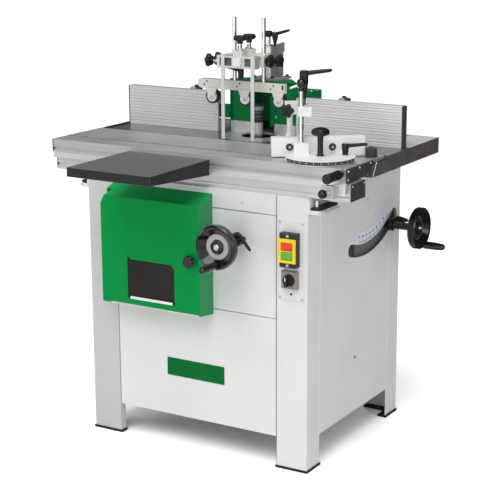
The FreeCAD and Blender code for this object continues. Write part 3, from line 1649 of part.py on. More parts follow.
def wheel_profile():
    """A dished wheel from the back of its hub at zero: thick rim, sloping dish and a low centre boss."""
    back = "wheel_hub - wheel_depth"
    floor = "wheel_hub - wheel_dish"
    round_off = "wheel_rim * wheel_round_share"
    return (
        ("wheel_shaft_radius", "0"),
        ("wheel_hub_radius", "0"),
        ("wheel_hub_radius * wheel_flare_share", back),
        ("wheel_radius - wheel_rim", back),
        (f"wheel_radius - {round_off}", f"{back} + {round_off} / 2"),
        ("wheel_radius", f"{back} + {round_off} * 2"),
        ("wheel_radius", f"wheel_hub - {round_off} * wheel_shoulder_share"),
        (f"wheel_radius - {round_off}", f"wheel_hub - {round_off} / 3"),
        (f"wheel_radius - {round_off} * 2", "wheel_hub"),
        ("wheel_radius - wheel_rim", f"wheel_hub - {round_off}"),
        ("wheel_ring_radius", floor),
        ("wheel_boss_radius", floor),
        ("wheel_boss_radius", f"{floor} + wheel_boss"),
        ("wheel_shaft_radius", f"{floor} + wheel_boss"),
    )


def height_handwheel():
    """The front wheel on its shaft, which ends in a universal joint's fork."""
    axis = ("height_wheel_x", "height_wheel_z")
    wheel = place(turned("y", ("0", "0", "0"), wheel_profile()),
                  ("height_wheel_x", "-height_wheel_front + wheel_hub", "height_wheel_z"),
                  Rotation(Vector(1, 0, 0), 90))
    grip = (axis[0], f"{axis[1]} - grip_orbit")
    pin_span = ("-height_wheel_front - grip_length * grip_pin_share",
                "-height_wheel_front + wheel_dish + wheel_boss")
    pin = rod("y", grip, pin_span, "grip_pin_radius")
    shaft = rod("y", axis, ("-height_wheel_front + wheel_dish - wheel_boss", "-height_shaft_rear"),
                "wheel_shaft_radius")
    yoke = rod("y", axis, ("-height_shaft_rear", "-height_shaft_rear + yoke_length"), "yoke_radius")
    gap = block(around(axis[0], "yoke_gap / 2"),
                ("-height_shaft_rear + yoke_length * yoke_root_share",
                 "-height_shaft_rear + yoke_length + overrun"),
                around(axis[1], "yoke_radius + overrun"))
    return group(fuse(wheel, pin), fuse(shaft, cut(yoke, gap)))


def tilt_handwheel():
    """The side wheel on its stepped shaft, carried by the gearbox of the cradle."""
    axis = ("gear_y", "gear_z")
    wheel = turned("x", ("tilt_wheel_left", *axis), wheel_profile())
    grip = (axis[0], f"{axis[1]} - grip_orbit")
    pin_span = ("tilt_wheel_right - wheel_dish - wheel_boss",
                "tilt_wheel_right + grip_length * grip_pin_share")
    pin = rod("x", grip, pin_span, "grip_pin_radius")
    step = "gearbox_right + cover_plate + moving_gap"
    shaft = fuse(rod("x", axis, ("gearbox_left", "tilt_wheel_right - wheel_dish + wheel_boss"),
                     "wheel_shaft_radius"),
                 rod("x", axis, (step, "tilt_wheel_left"), "wheel_tube_radius"))
    return group(fuse(wheel, pin), shaft)


def grip_profile():
    """A tapered crank grip, bored blind for its pin, from its base outwards."""
    return (
        ("grip_pin_radius + running_gap", "0"),
        ("grip_tip_radius", "0"),
        ("grip_radius", "grip_neck"),
        ("grip_radius", "grip_length * grip_belly_share"),
        ("grip_tip_radius", "grip_length - grip_neck"),
        ("grip_tip_radius * grip_end_share", "grip_length"),
        ("0", "grip_length"),
        ("0", "grip_length * grip_pin_share"),
        ("grip_pin_radius + running_gap", "grip_length * grip_pin_share"),
    )


def front_crank_grip():
    base = "-height_wheel_front - moving_gap"
    return place(turned("y", ("0", "0", "0"), grip_profile()),
                 ("height_wheel_x", base, "height_wheel_z - grip_orbit"), Rotation(Vector(1, 0, 0), 90))


def side_crank_grip():
    base = "tilt_wheel_right + moving_gap"
    return turned("x", (base, "gear_y", "gear_z - grip_orbit"), grip_profile())


def shaft_bush():
    """The flanged bush in the front panel that the height shaft turns in."""
    at = ("height_wheel_x", "front - bush_nose - bush_flange", "height_wheel_z")
    length = "bush_nose + bush_flange"
    return turned("y", at, (
        ("wheel_shaft_radius + running_gap", "0"),
        ("bush_radius", "0"),
        ("bush_radius", "bush_nose"),
        ("bush_flange_radius", "bush_nose"),
        ("bush_flange_radius", length),
        ("bush_radius", length),
        ("bush_radius", f"{length} + panel_return"),
        ("wheel_shaft_radius + running_gap", f"{length} + panel_return"),
    ))


def lever_arm(axis, across, along, angle, start):
    """A tapered lever that leaves a hub at an angle, square to the hub's axis."""
    direction = (math.cos(math.radians(angle)), math.sin(math.radians(angle)))
    heading = Vector(direction[0], 0, direction[1]) if axis == "y" else Vector(0, direction[0], direction[1])
    turn = Rotation(Vector(0, 0, 1), heading)

    def at(distance):
        first = f"{across[0]} + {direction[0]} * ({distance})"
        return spread(axis, along, (first, f"{across[1]} + {direction[1]} * ({distance})"))

    arm = doc.addObject("Part::Cone", "lever")
    arm.setExpression("Radius1", e("clamp_tip_radius"))
    arm.setExpression("Radius2", e("clamp_lever_radius"))
    arm.setExpression("Height", e(f"clamp_lever - ({start})"))
    place(arm, at(start), turn)
    return fuse(arm, ball(at("clamp_lever"), "clamp_lever_radius"))


def height_lock():
    axis = ("height_wheel_x", "height_wheel_z")
    span = ("front - bush_flange - moving_gap - clamp_ring_length", "front - bush_flange - moving_gap")
    inner = "bush_radius + running_gap"
    ring = tube("y", axis, span, "bush_radius + clamp_ring", inner)
    arm = lever_arm("y", axis, f"{span[0]} + clamp_ring_length / 2", number("height_lock_deg"),
                    "bush_radius + clamp_ring / 2")
    return fuse(ring, arm)


def tilt_lock():
    axis = ("gear_y", "gear_z")
    span = ("tilt_lock_x", "tilt_lock_x + clamp_ring_length")
    ring = tube("x", axis, span, "wheel_tube_radius + clamp_ring", "wheel_tube_radius + running_gap")
    arm = lever_arm("x", axis, f"{span[0]} + clamp_ring_length / 2", number("tilt_lock_deg"),
                    "wheel_tube_radius + clamp_ring / 2")
    return fuse(ring, arm)


# Access door

def door_hull(inset):
    """The bulged form of the door, whose top slopes back to the cabinet."""
    hull = doc.addObject("Part::Wedge", "hull")
    low = {
        "Xmin": f"-door_left + {inset}",
        "Xmax": f"door_right - {inset}",
        "Ymin": f"door_front + {inset}",
        "Ymax": "door_rear" if inset == "0" else "door_rear + overrun",
        "Zmin": f"door_bottom + {inset}",
        "Zmax": f"door_top - {inset}",
        "X2min": f"-door_left + {inset}",
        "X2max": f"door_right + door_rim_right - {inset}",
        "Z2min": f"door_bottom - door_rim_bottom + {inset}",
        "Z2max": f"door_top + door_rim_top - {inset}",
    }
    for name, text in low.items():
        hull.setExpression(name, e(text))
    return hull


def door_knuckle(bottom):
    span = (f"{bottom} + moving_gap", f"{bottom} + hinge_knuckle")
    barrel = tube("z", ("hinge_x", "hinge_y"), span, "hinge_knuckle_radius", "hinge_pin_radius + running_gap")
    leaf = block(("hinge_x + hinge_knuckle_radius - sheet", "-door_left + sheet"),
                 around("hinge_y", "sheet / 2"), span)
    return [barrel, leaf]


def access_door():
    corner = prism("y", (
        ("-door_left - overrun", "door_top + door_rim_top + overrun"),
        ("-door_left - overrun", "door_top - door_corner"),
        ("-door_left + door_corner", "door_top + door_rim_top + overrun"),
    ), ("door_front - overrun", "front - door_bulge / 2"))
    hull = cut(door_hull("0"), door_hull("door_sheet"))
    plug = prism("y", (
        ("-door_left", "door_top - door_corner"),
        ("-door_left", "door_top - door_corner - door_sheet"),
        ("-door_left + door_corner + door_sheet", "door_top + door_sheet * 2"),
        ("-door_left + door_corner", "door_top + door_sheet * 2"),
    ), ("door_front", "front - door_bulge / 2"))
    window = block(("-window_left", "-window_right"), past(("door_front", "door_front + door_sheet")),
                   ("window_bottom", "window_top"))
    knob = rod("y", ("door_knob_x", "door_knob_z"), past(("door_front", "door_front + door_sheet")),
               "door_knob_pin_radius + running_gap")
    inside = shared(plug, door_hull("0"))
    knuckles = door_knuckle("hinge_low_z") + door_knuckle("hinge_high_z")
    return fuse(cut(hull, corner, window, knob), inside, *knuckles)


def door_window():
    inner = "door_front + door_sheet"
    return block(("-window_left - window_lap", "-window_right + window_lap"),
                 (inner, f"{inner} + window_pane"), ("window_bottom - window_lap", "window_top + window_lap"))


def door_knob():
    return place(turned("y", ("0", "0", "0"), (
        ("0", "-door_knob_depth / 2"),
        ("door_knob_pin_radius", "-door_knob_depth / 2"),
        ("door_knob_pin_radius", "moving_gap"),
        ("door_knob_neck_radius", "moving_gap"),
        ("door_knob_neck_radius", "door_knob_depth * knob_neck_share"),
        ("door_knob_radius * knob_swell_share", "door_knob_depth * knob_back_share"),
        ("door_knob_radius", "door_knob_depth * knob_low_share"),
        ("door_knob_radius", "door_knob_depth * knob_high_share"),
        ("door_knob_radius * knob_crown_share", "door_knob_depth"),
        ("0", "door_knob_depth"),
    )), ("door_knob_x", "door_front", "door_knob_z"), Rotation(Vector(1, 0, 0), 90))


# Switches

def switch_plate():
    plate = block(around("switch_x", "switch_plate_half"), ("switch_back", "front"),
                  ("switch_plate_bottom", "switch_plate_top"))
    base = block(around("switch_x", "selector_half"), ("selector_front", "switch_back"),
                 around("selector_z", "selector_half"))
    bore = rod("y", ("switch_x", "selector_z"), ("selector_front - overrun", "switch_back"),
               "selector_pin_radius + running_gap")
    return cut(fuse(plate, base), bore)


def switch_housing():
    shell = prism("z", (
        ("switch_x - switch_half", "switch_back"),
        ("switch_x + switch_half", "switch_back"),
        ("switch_x + switch_half", "switch_front + switch_chamfer"),
        ("switch_x + switch_half - switch_chamfer", "switch_front"),
        ("switch_x - switch_half + switch_chamfer", "switch_front"),
        ("switch_x - switch_half", "switch_front + switch_chamfer"),
    ), ("switch_bottom", "switch_top"))
    pockets = [block(around("switch_x", "button_half + moving_gap"),
                     ("switch_front - overrun", "switch_front + button_pocket"),
                     around(z, "button_tall / 2 + moving_gap")) for z in ("stop_button_z", "start_button_z")]
    return cut(shell, *pockets)


def push_button(z):
    face = "switch_front - button_proud"
    low, high = around(z, "button_tall / 2")
    return prism("x", (
        (face, f"{low} + button_proud / 2"),
        (face, f"{high} - button_proud / 2"),
        (f"{face} + button_proud / 2", high),
        (f"{face} + button_depth", high),
        (f"{face} + button_depth", low),
        (f"{face} + button_proud / 2", low),
    ), around("switch_x", "button_half"))


def selector_knob():
    face = "selector_front - moving_gap"
    axis = ("switch_x", "selector_z")
    disc = rod("y", axis, (f"{face} - selector_height", face), "selector_radius * selector_face_share",
               "selector_radius")
    bar = block(around("switch_x", "selector_bar / 2"),
                (f"{face} - selector_height - selector_bar_height", f"{face} - selector_height / 2"),
                around("selector_z", "selector_radius * selector_bar_share"))
    pin = rod("y", axis, (face, "switch_back - moving_gap"), "selector_pin_radius")
    return fuse(disc, bar, pin)


# Build every sub-part

node("cabinet_frame", cabinet_frame())
node("rubber_feet", rubber_feet())
node("lower_front_panel", lower_front_panel())
node("middle_front_panel", middle_front_panel())
node("right_side_panel", right_side_panel())
node("left_side_panel", side_panel(-1))
node("rear_panel", rear_panel())
node("machine_table", machine_table())
node("guide_rail", guide_rail())
node("stop_brackets", stop_brackets())
node("switch_plate", switch_plate())
node("switch_housing", switch_housing())
node("trunnion_brackets", trunnion_brackets())
node("fence_hood", fence_hood())
node("hood_skirt", hood_skirt())
node("hold_down_frame", hold_down_frame())
node("shaft_bush", shaft_bush())
node("sliding_table", sliding_table())
node("carriage_shoes", group(*carriage_shoes().Links, lock_block()))
node("extension_table", extension_table())
node("push_handle", push_handle())
node("lock_plunger", lock_plunger())
node("mitre_plate", mitre_plate())
node("mitre_fence", mitre_fence())
node("clamp_post", clamp_post())
node("mitre_handle", mitre_handle())
node("mitre_lever", mitre_lever())
node("clamp_arm", clamp_arm())
node("clamp_lever", clamp_lever())
node("left_fence", left_fence())
node("right_fence", right_fence())
node("pressure_rods", pressure_rods())
node("roller_bar", roller_bar())
for name, index in zip(("left", "middle", "right"), ROLLER_PLACES):
    node(f"roller_{name}", pressure_roller(index))
node("pressure_bars", pressure_bars())
node("rod_top_knob", star_knob("z", ("spindle_x", "rod_head_y", "boss_top"), 1))
node("rod_side_knob", star_knob("x", ("spindle_x - head_left", "rod_head_y", "head_middle"), -1))
node("bar_top_knob", star_knob("z", ("spindle_x", "-bar_head_y", "boss_top"), 1))
node("bar_side_knob", star_knob("x", ("spindle_x - head_left", "-bar_head_y", "head_middle"), -1))
node("tilt_cradle", tilt_cradle())
node("quill_housing", quill_housing())
node("motor", motor())
node("drive_belt", drive_belt())
node("motor_pulley", motor_pulley())
node("spindle", spindle())
node("spindle_nut", spindle_nut())
node("height_handwheel", height_handwheel())
node("tilt_handwheel", tilt_handwheel())
node("front_crank_grip", front_crank_grip())
node("side_crank_grip", side_crank_grip())
node("height_lock", height_lock())
node("tilt_lock", tilt_lock())
node("access_door", access_door())
node("door_window", door_window())
node("door_knob", door_knob())
node("stop_button", push_button("stop_button_z"))
node("start_button", push_button("start_button_z"))
node("selector_knob", selector_knob())

doc.recompute()

# Refuse to write anything from a model with a failed object
for item in doc.Objects:
    if "Invalid" in item.State or "Error" in item.State:
        raise RuntimeError(f"{item.Name} failed: {item.State}")
for item in nodes:
    if item.Shape.isNull() or not item.Shape.isValid() or not item.Shape.Solids:
        raise RuntimeError(f"{item.Label} has no valid solid")

os.makedirs("parts", exist_ok=True)
for item in nodes:
    item.Shape.exportStep(f"parts/{item.Label}.step")
    print(item.Label, len(item.Shape.Solids), round(item.Shape.Volume))
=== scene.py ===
import math
from collections import namedtuple
import bmesh
import bpy
from mathutils import Matrix, Vector


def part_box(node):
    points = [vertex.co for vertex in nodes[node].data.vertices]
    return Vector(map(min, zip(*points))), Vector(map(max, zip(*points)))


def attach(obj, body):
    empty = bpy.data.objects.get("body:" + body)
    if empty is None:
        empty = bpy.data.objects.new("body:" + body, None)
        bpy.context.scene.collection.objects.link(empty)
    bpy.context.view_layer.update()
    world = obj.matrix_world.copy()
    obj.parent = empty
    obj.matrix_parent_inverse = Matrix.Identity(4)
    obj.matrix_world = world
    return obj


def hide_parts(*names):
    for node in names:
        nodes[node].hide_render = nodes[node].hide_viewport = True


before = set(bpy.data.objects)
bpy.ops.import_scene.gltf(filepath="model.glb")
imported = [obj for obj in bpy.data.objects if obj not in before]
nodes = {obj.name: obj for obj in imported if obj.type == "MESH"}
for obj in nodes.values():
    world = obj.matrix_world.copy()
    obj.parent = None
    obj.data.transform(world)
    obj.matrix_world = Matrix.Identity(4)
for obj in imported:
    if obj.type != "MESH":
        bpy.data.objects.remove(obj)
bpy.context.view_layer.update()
scene = bpy.context.scene
scene.view_settings.view_transform = "Standard"


# Places read from the frame, in millimetres as everything up to the floor

MM = 0.001
Corner = namedtuple("Corner", "x y z")


def corners(node):
    """A node's lowest and highest corners at rest."""
    return [Corner(*(round(value / MM, 2) for value in corner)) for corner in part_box(node)]


def middle(node):
    """The middle of a node's box at rest."""
    low, high = corners(node)
    return Corner(*((start + end) / 2 for start, end in zip(low, high)))


FRONT_Y = corners("lower_front_panel")[0].y
BACK_Y = corners("cabinet_frame")[1].y
SIDE_X = corners("cabinet_frame")[1].x
DOOR_Y = corners("access_door")[0].y
table, slider, rail = corners("machine_table"), corners("sliding_table"), corners("guide_rail")
hold_down = corners("hold_down_frame")
spindle = middle("spindle")
rollers = {name: middle(f"roller_{name}") for name in ("left", "middle", "right")}


# Materials

NOISE_ENDS = (0.32, 0.68)
NOISE_SPAN = (0.3, 0.7)
EDGE_TURN = (0.93, 0.995)
RELIEF = 0.4
COAT_ROUGHNESS = 0.12
EVEN = (1, 1, 1)
ALONG = (0.6, 60, 60)


def lin(red, green, blue):
    """A colour given in screen values of 0 to 255, as linear light."""
    shares = [value / 255 for value in (red, green, blue)]
    return tuple(s / 12.92 if s <= 0.04045 else ((s + 0.055) / 1.055) ** 2.4 for s in shares) + (1.0,)


def grey(low, high):
    return lin(low, low, low), lin(high, high, high)


class Nodes:
    """A node tree with short calls to add and join nodes."""

    def __init__(self, tree):
        self.tree = tree

    def add(self, kind, operation=None):
        node = self.tree.nodes.new(kind)
        if operation:
            node.operation = operation
        return node

    def join(self, start, end):
        self.tree.links.new(start, end)

    def spread(self, value, source, target):
        """Maps one stretch of values onto another."""
        node = self.add("ShaderNodeMapRange")
        for name, number in zip(("From Min", "From Max", "To Min", "To Max"), (*source, *target)):
            node.inputs[name].default_value = number
        self.join(value, node.inputs["Value"])
        return node.outputs["Result"]

    def mix(self, factor, first, second, kind="FLOAT"):
        """Goes from the first to the second, each a number, a colour or a socket."""
        node = self.add("ShaderNodeMix")
        node.data_type = kind
        self.join(factor, node.inputs["Factor"])
        for socket, value in ((node.inputs["A"], first), (node.inputs["B"], second)):
            if isinstance(value, (float, tuple)):
                socket.default_value = value
            else:
                self.join(value, socket)
        return node.outputs["Result"]


class Look(Nodes):
    """A node material: mottled colour, uneven roughness, fine grain and softly rounded edges."""

    def __init__(self, name, tones, rough, metallic=0.0, scale=14.0, stretch=EVEN, grain=900.0,
                 grain_stretch=EVEN, bump=0.05, radius=0.9, edge=None, coat=0.0, specular=0.5):
        self.material = bpy.data.materials.new(name)
        self.material.use_nodes = True
        super().__init__(self.material.node_tree)
        self.shader = self.tree.nodes["Principled BSDF"]
        self.shader.inputs["Metallic"].default_value = metallic
        self.shader.inputs["Specular IOR Level"].default_value = specular
        if coat:
            self.shader.inputs["Coat Weight"].default_value = coat
            self.shader.inputs["Coat Roughness"].default_value = COAT_ROUGHNESS
        self.coords = self.add("ShaderNodeTexCoord")
        self.colour = self.ramp(self.noise(scale, stretch, 5.0), tones)
        self.rough = self.spread(self.noise(scale * 2.3, stretch, 3.0), NOISE_SPAN, rough)
        rounded = self.add("ShaderNodeBevel")
        rounded.samples = 6
        rounded.inputs["Radius"].default_value = radius * MM
        self.rounded = rounded.outputs["Normal"]
        if edge:
            self.wear(edge)
        relief = self.add("ShaderNodeBump")
        relief.inputs["Strength"].default_value = bump
        relief.inputs["Distance"].default_value = RELIEF * MM
        self.join(self.noise(grain, grain_stretch, 2.0), relief.inputs["Height"])
        self.join(self.rounded, relief.inputs["Normal"])
        self.join(relief.outputs["Normal"], self.shader.inputs["Normal"])
        self.finish()

    def finish(self):
        self.join(self.colour, self.shader.inputs["Base Color"])
        self.join(self.rough, self.shader.inputs["Roughness"])

    def noise(self, scale, stretch, detail):
        mapping = self.add("ShaderNodeMapping")
        mapping.inputs["Scale"].default_value = stretch
        self.join(self.coords.outputs["Object"], mapping.inputs["Vector"])
        texture = self.add("ShaderNodeTexNoise")
        texture.inputs["Scale"].default_value = scale
        texture.inputs["Detail"].default_value = detail
        self.join(mapping.outputs["Vector"], texture.inputs["Vector"])
        return texture.outputs["Fac"]

    def ramp(self, factor, tones):
        ramp = self.add("ShaderNodeValToRGB")
        for element, position, tone in zip(ramp.color_ramp.elements, NOISE_ENDS, tones):
            element.position = position
            element.color = tone
        self.join(factor, ramp.inputs["Fac"])
        return ramp.outputs["Color"]

    def wear(self, colour):
        """Edges turned towards another colour, as worn paint and as a painted highlight, found where the
        rounded normal leaves the flat one.
        """
        shape = self.add("ShaderNodeNewGeometry")
        turn = self.add("ShaderNodeVectorMath", "DOT_PRODUCT")
        self.join(self.rounded, turn.inputs[0])
        self.join(shape.outputs["Normal"], turn.inputs[1])
        rubbed_and_lit = self.spread(turn.outputs["Value"], EDGE_TURN, (1.0, 0.0))
        self.colour = self.mix(rubbed_and_lit, self.colour, colour, "RGBA")

    def part(self, coordinate, axis):
        split = self.add("ShaderNodeSeparateXYZ")
        self.join(self.coords.outputs[coordinate], split.inputs["Vector"])
        return split.outputs[axis]

    def beyond(self, axis, low, high):
        """A mask over a place along an axis: none at low and full at high."""
        return self.spread(self.part("Object", axis), (low * MM, high * MM), (0.0, 1.0))

    def facing(self, axis, low=0.8, high=0.9):
        """A mask over the faces that look along an axis."""
        return self.spread(self.part("Normal", axis), (low, high), (0.0, 1.0))

    def front(self):
        """A mask over the faces that look to the machine's front."""
        return self.facing("Y", -0.8, -0.9)

    def all_of(self, *masks):
        """A mask that is full where all the given ones are."""
        result = masks[0]
        for mask in masks[1:]:
            node = self.add("ShaderNodeMath", "MULTIPLY")
            self.join(result, node.inputs[0])
            self.join(mask, node.inputs[1])
            result = node.outputs["Value"]
        return result

    def near(self, centre, low, high):
        """A mask that is full inside a cylinder along Y about a centre."""
        flat = self.add("ShaderNodeVectorMath", "MULTIPLY")
        flat.inputs[1].default_value = (1, 0, 1)
        self.join(self.coords.outputs["Object"], flat.inputs[0])
        gap = self.add("ShaderNodeVectorMath", "DISTANCE")
        gap.inputs[1].default_value = (centre.x * MM, 0, centre.z * MM)
        self.join(flat.outputs["Vector"], gap.inputs[0])
        return self.spread(gap.outputs["Value"], (low * MM, high * MM), (1.0, 0.0))

    def line(self, axis, place, half):
        """A mask along a thin strip at a place on an axis."""
        gap = self.add("ShaderNodeMath", "SUBTRACT")
        gap.inputs[1].default_value = place * MM
        self.join(self.part("Object", axis), gap.inputs[0])
        size = self.add("ShaderNodeMath", "ABSOLUTE")
        self.join(gap.outputs["Value"], size.inputs[0])
        return self.spread(size.outputs["Value"], (half * 0.7 * MM, half * MM), (1.0, 0.0))

    def stripes(self, axis, pitch, half):
        """A mask over thin grooves that repeat along an axis."""
        fold = self.add("ShaderNodeMath", "PINGPONG")
        fold.inputs[1].default_value = pitch / 2 * MM
        self.join(self.part("Object", axis), fold.inputs[0])
        return self.spread(fold.outputs["Value"], (half * 0.5 * MM, half * MM), (1.0, 0.0))

    def where(self, mask, tones, rough=None, scale=30.0, metallic=None):
        """Another colour where the mask is full, with a roughness and a metalness if given; it carries other
        finishes and also painted light and shade.
        """
        self.colour = self.mix(mask, self.colour, self.ramp(self.noise(scale, EVEN, 4.0), tones), "RGBA")
        if rough:
            other = self.spread(self.noise(scale, EVEN, 3.0), NOISE_SPAN, rough)
            self.rough = self.mix(mask, self.rough, other)
        if metallic:
            self.join(self.spread(mask, (0.0, 1.0), metallic), self.shader.inputs["Metallic"])
        self.finish()


# Paints

white = Look("white_paint", (lin(222, 222, 221), lin(228, 228, 227)), (0.4, 0.5), scale=5, grain=1400,
             bump=0.03, specular=0.3)
ahead = white.front()
panel = corners("middle_front_panel")
post_seam = panel[1].x
# The left post's front face is painted a darker grey: painted shade.
white.where(white.all_of(ahead, white.beyond("X", 3 - post_seam, -3 - post_seam)), grey(194, 199), scale=5)
for side in (-1, 1):
    white.where(white.all_of(ahead, white.line("X", side * (post_seam - 0.7), 2.1)), grey(132, 142))
between_posts = white.line("X", 0, post_seam + 1)
for height in (panel[0].z - 0.75, panel[1].z + 2):
    white.where(white.all_of(ahead, between_posts, white.line("Z", height, 1.6)), grey(150, 160))
# A lighter line along each seam on the right side face is a painted highlight.
side_seam = corners("right_side_panel")[1].y + 0.5
for side in (-1, 1):
    white.where(white.all_of(white.facing("X"), white.line("Y", side * side_seam, 1.7)), grey(246, 250))
green = Look("green_paint", (lin(0, 142, 65), lin(3, 147, 70)), (0.34, 0.44), scale=6, grain=1200, bump=0.03,
             edge=lin(40, 158, 92), radius=1.6, specular=0.08)
# The door's sideways faces and its upward faces are painted lighter greens: painted light.
green.where(green.facing("X", 0.5, 0.7), (lin(56, 146, 96), lin(62, 152, 102)))
green.where(green.facing("Z", 0.6, 0.7), (lin(4, 162, 78), lin(8, 168, 84)))
dark_green = Look("dark_green_paint", (lin(0, 122, 58), lin(4, 128, 62)), (0.3, 0.4), scale=6, grain=1200,
                  bump=0.03, edge=lin(30, 124, 76), specular=0.12)
# The guard inside the hood takes a lighter copy of the hood's green: painted light.
lit_inner_green = Look("inner_green_paint", (lin(30, 176, 96), lin(36, 186, 104)), (0.4, 0.5), scale=6,
                   grain=1200, bump=0.03, specular=0.1)
label = Look("label_green", (lin(0, 104, 42), lin(2, 110, 48)), (0.4, 0.5), scale=18, bump=0.03,
             specular=0.1)
# The enamel's top faces are painted lighter and its sides darker, as painted light and shade; its light edge
# colour is a painted highlight.
tray = Look("grey_enamel", grey(33, 39), (0.5, 0.62), scale=9, grain=1500, bump=0.12,
            edge=lin(126, 126, 124), specular=0.3)
tray.where(tray.facing("Z"), grey(100, 106), (0.46, 0.56), 6)
frame_grey = Look("hold_down_paint", (lin(222, 219, 213), lin(232, 230, 225)), (0.34, 0.46), grain=700,
                  bump=0.06, edge=lin(242, 241, 238))
foot_top = hold_down[0].z + 6
column = frame_grey.all_of(frame_grey.beyond("Y", 108.3, 108.6),
                           frame_grey.beyond("Z", foot_top + 0.2, foot_top + 0.6))
frame_grey.where(column, grey(106, 116), (0.4, 0.5))
foot = frame_grey.all_of(frame_grey.beyond("Y", 90, 90.5), frame_grey.beyond("Z", foot_top + 0.4, foot_top))
frame_grey.where(foot, grey(140, 152), (0.4, 0.5))
cheek_grey = Look("column_paint", grey(128, 138), (0.42, 0.52), scale=16, grain=700, bump=0.06,
                  edge=lin(150, 150, 150), specular=0.3)
cream = Look("cream_paint", (lin(207, 204, 197), lin(215, 212, 206)), (0.36, 0.46), scale=12,
             edge=lin(240, 238, 232))
cream.where(cream.facing("Z"), grey(92, 104), (0.4, 0.5), 40)
plate = Look("switch_plate_paint", (lin(222, 222, 221), lin(229, 229, 228)), (0.36, 0.46), scale=8,
             grain=1300, bump=0.03)
plate.where(plate.beyond("Y", FRONT_Y - 2.4, FRONT_Y - 2.6),
            (lin(136, 131, 122), lin(148, 143, 134)), (0.4, 0.5))
motor = Look("motor_paint", (lin(96, 102, 108), lin(106, 112, 118)), (0.4, 0.5), scale=20, grain=700,
             bump=0.1)

# Metals

cast = Look("cast_iron", (lin(76, 72, 70), lin(88, 84, 82)), (0.5, 0.66), scale=22, grain=520, bump=0.25,
            specular=0.3)
# All top faces first take a light grey; the masks below leave it only at the table's right rear end, where it
# is a painted reflection.
cast.where(cast.facing("Z"), grey(196, 204), (0.4, 0.5), 9)
for axis, low, high in (("X", 400, 380), ("Y", 86, 78)):
    ground_top = cast.all_of(cast.facing("Z"), cast.beyond(axis, low, high))
    cast.where(ground_top, grey(114, 127), (0.22, 0.3), 9, (0.0, 0.6))
fence_end = corners("left_fence")[0].x
# The table's top left of the fence's end is painted nearly black: a painted reflection.
cast.where(cast.all_of(cast.facing("Z"), cast.beyond("X", fence_end + 6, fence_end)), grey(36, 43), scale=9)
housing = Look("machine_casting", grey(112, 124), (0.5, 0.64), scale=24, grain=420, bump=0.3)
aluminium = Look("brushed_aluminium", grey(190, 201), (0.32, 0.44), 0.7, scale=7, stretch=ALONG, grain=30,
                 grain_stretch=(0.4, 60, 60), bump=0.025, edge=lin(232, 232, 232))
aluminium.where(aluminium.facing("Z"), grey(164, 180), (0.42, 0.54), 7, (0.7, 0.35))
step = slider[1].z - 37
aluminium.where(aluminium.beyond("Z", step + 0.2, step - 0.2), grey(216, 226), scale=7)
bars = Look("pressure_bar_metal", grey(218, 228), (0.3, 0.42), 0.6, scale=12, grain=500, bump=0.03,
            edge=lin(236, 236, 234))
pocket_floor = corners("pressure_bars")[0].y + 12
bars.where(bars.all_of(bars.front(), bars.line("Y", pocket_floor, 3)),
           (lin(112, 104, 92), lin(126, 118, 106)), (0.5, 0.6))
fence_metal = Look("fence_aluminium", grey(232, 238), (0.38, 0.48), 0.45, scale=6, grain=700, bump=0.03)
# The left fence, left of x = -130 mm, is painted darker: painted shade.
fence_metal.where(fence_metal.beyond("X", -120, -130), grey(206, 213), scale=8)
fence_metal.where(fence_metal.all_of(fence_metal.front(), fence_metal.stripes("Z", 7.2, 1.3)), grey(196, 202))
bright = Look("bright_casting", grey(232, 240), (0.4, 0.52), 0.1, scale=16, grain=700, bump=0.06,
              edge=lin(250, 250, 250))
steel = Look("turned_steel", grey(176, 200), (0.24, 0.36), 0.95, scale=8, stretch=(10, 10, 120), grain=30,
             grain_stretch=(6, 6, 160), bump=0.04)
zinc = Look("zinc_plate", grey(196, 214), (0.3, 0.45), 0.7, scale=60, grain=500)
chrome = Look("chrome", grey(226, 236), (0.06, 0.12), 1.0, scale=10, stretch=(4, 4, 40), bump=0.01)
nut = Look("spindle_nut_steel", grey(30, 40), (0.28, 0.38), 0.3, scale=30, bump=0.04,
           edge=lin(90, 90, 92))
nut_foot = corners("spindle_nut")[0].z
nut.where(nut.line("Z", nut_foot + 41.5, 6.5), grey(140, 156), (0.2, 0.3))
for height in (17.5, 29.5):
    nut.where(nut.line("Z", nut_foot + height, 1.3), grey(96, 108))
stops = Look("stop_bracket", grey(222, 232), (0.3, 0.45), 0.2, scale=60, grain=500)
for side in (-1, 1):
    buffer = stops.all_of(stops.beyond("Z", 743.8, 744.2), stops.beyond("X", side * 365, side * 365.2))
    stops.where(buffer, grey(22, 30), (0.6, 0.75), 50)
plunger = Look("lock_plunger", grey(224, 234), (0.08, 0.16), 1.0, scale=20, bump=0.01)
plunger.where(plunger.beyond("Y", -338.5, -338.8), grey(14, 20), (0.12, 0.2), 40, (1.0, 0.0))
shoes = Look("lock_block", grey(190, 206), (0.36, 0.48), 0.4, scale=40, grain=700, bump=0.1)
ring_grey = Look("ring_plate", grey(176, 186), (0.4, 0.5), 0.1, scale=26, grain=700, bump=0.04)

# Plastics, rubber and inks

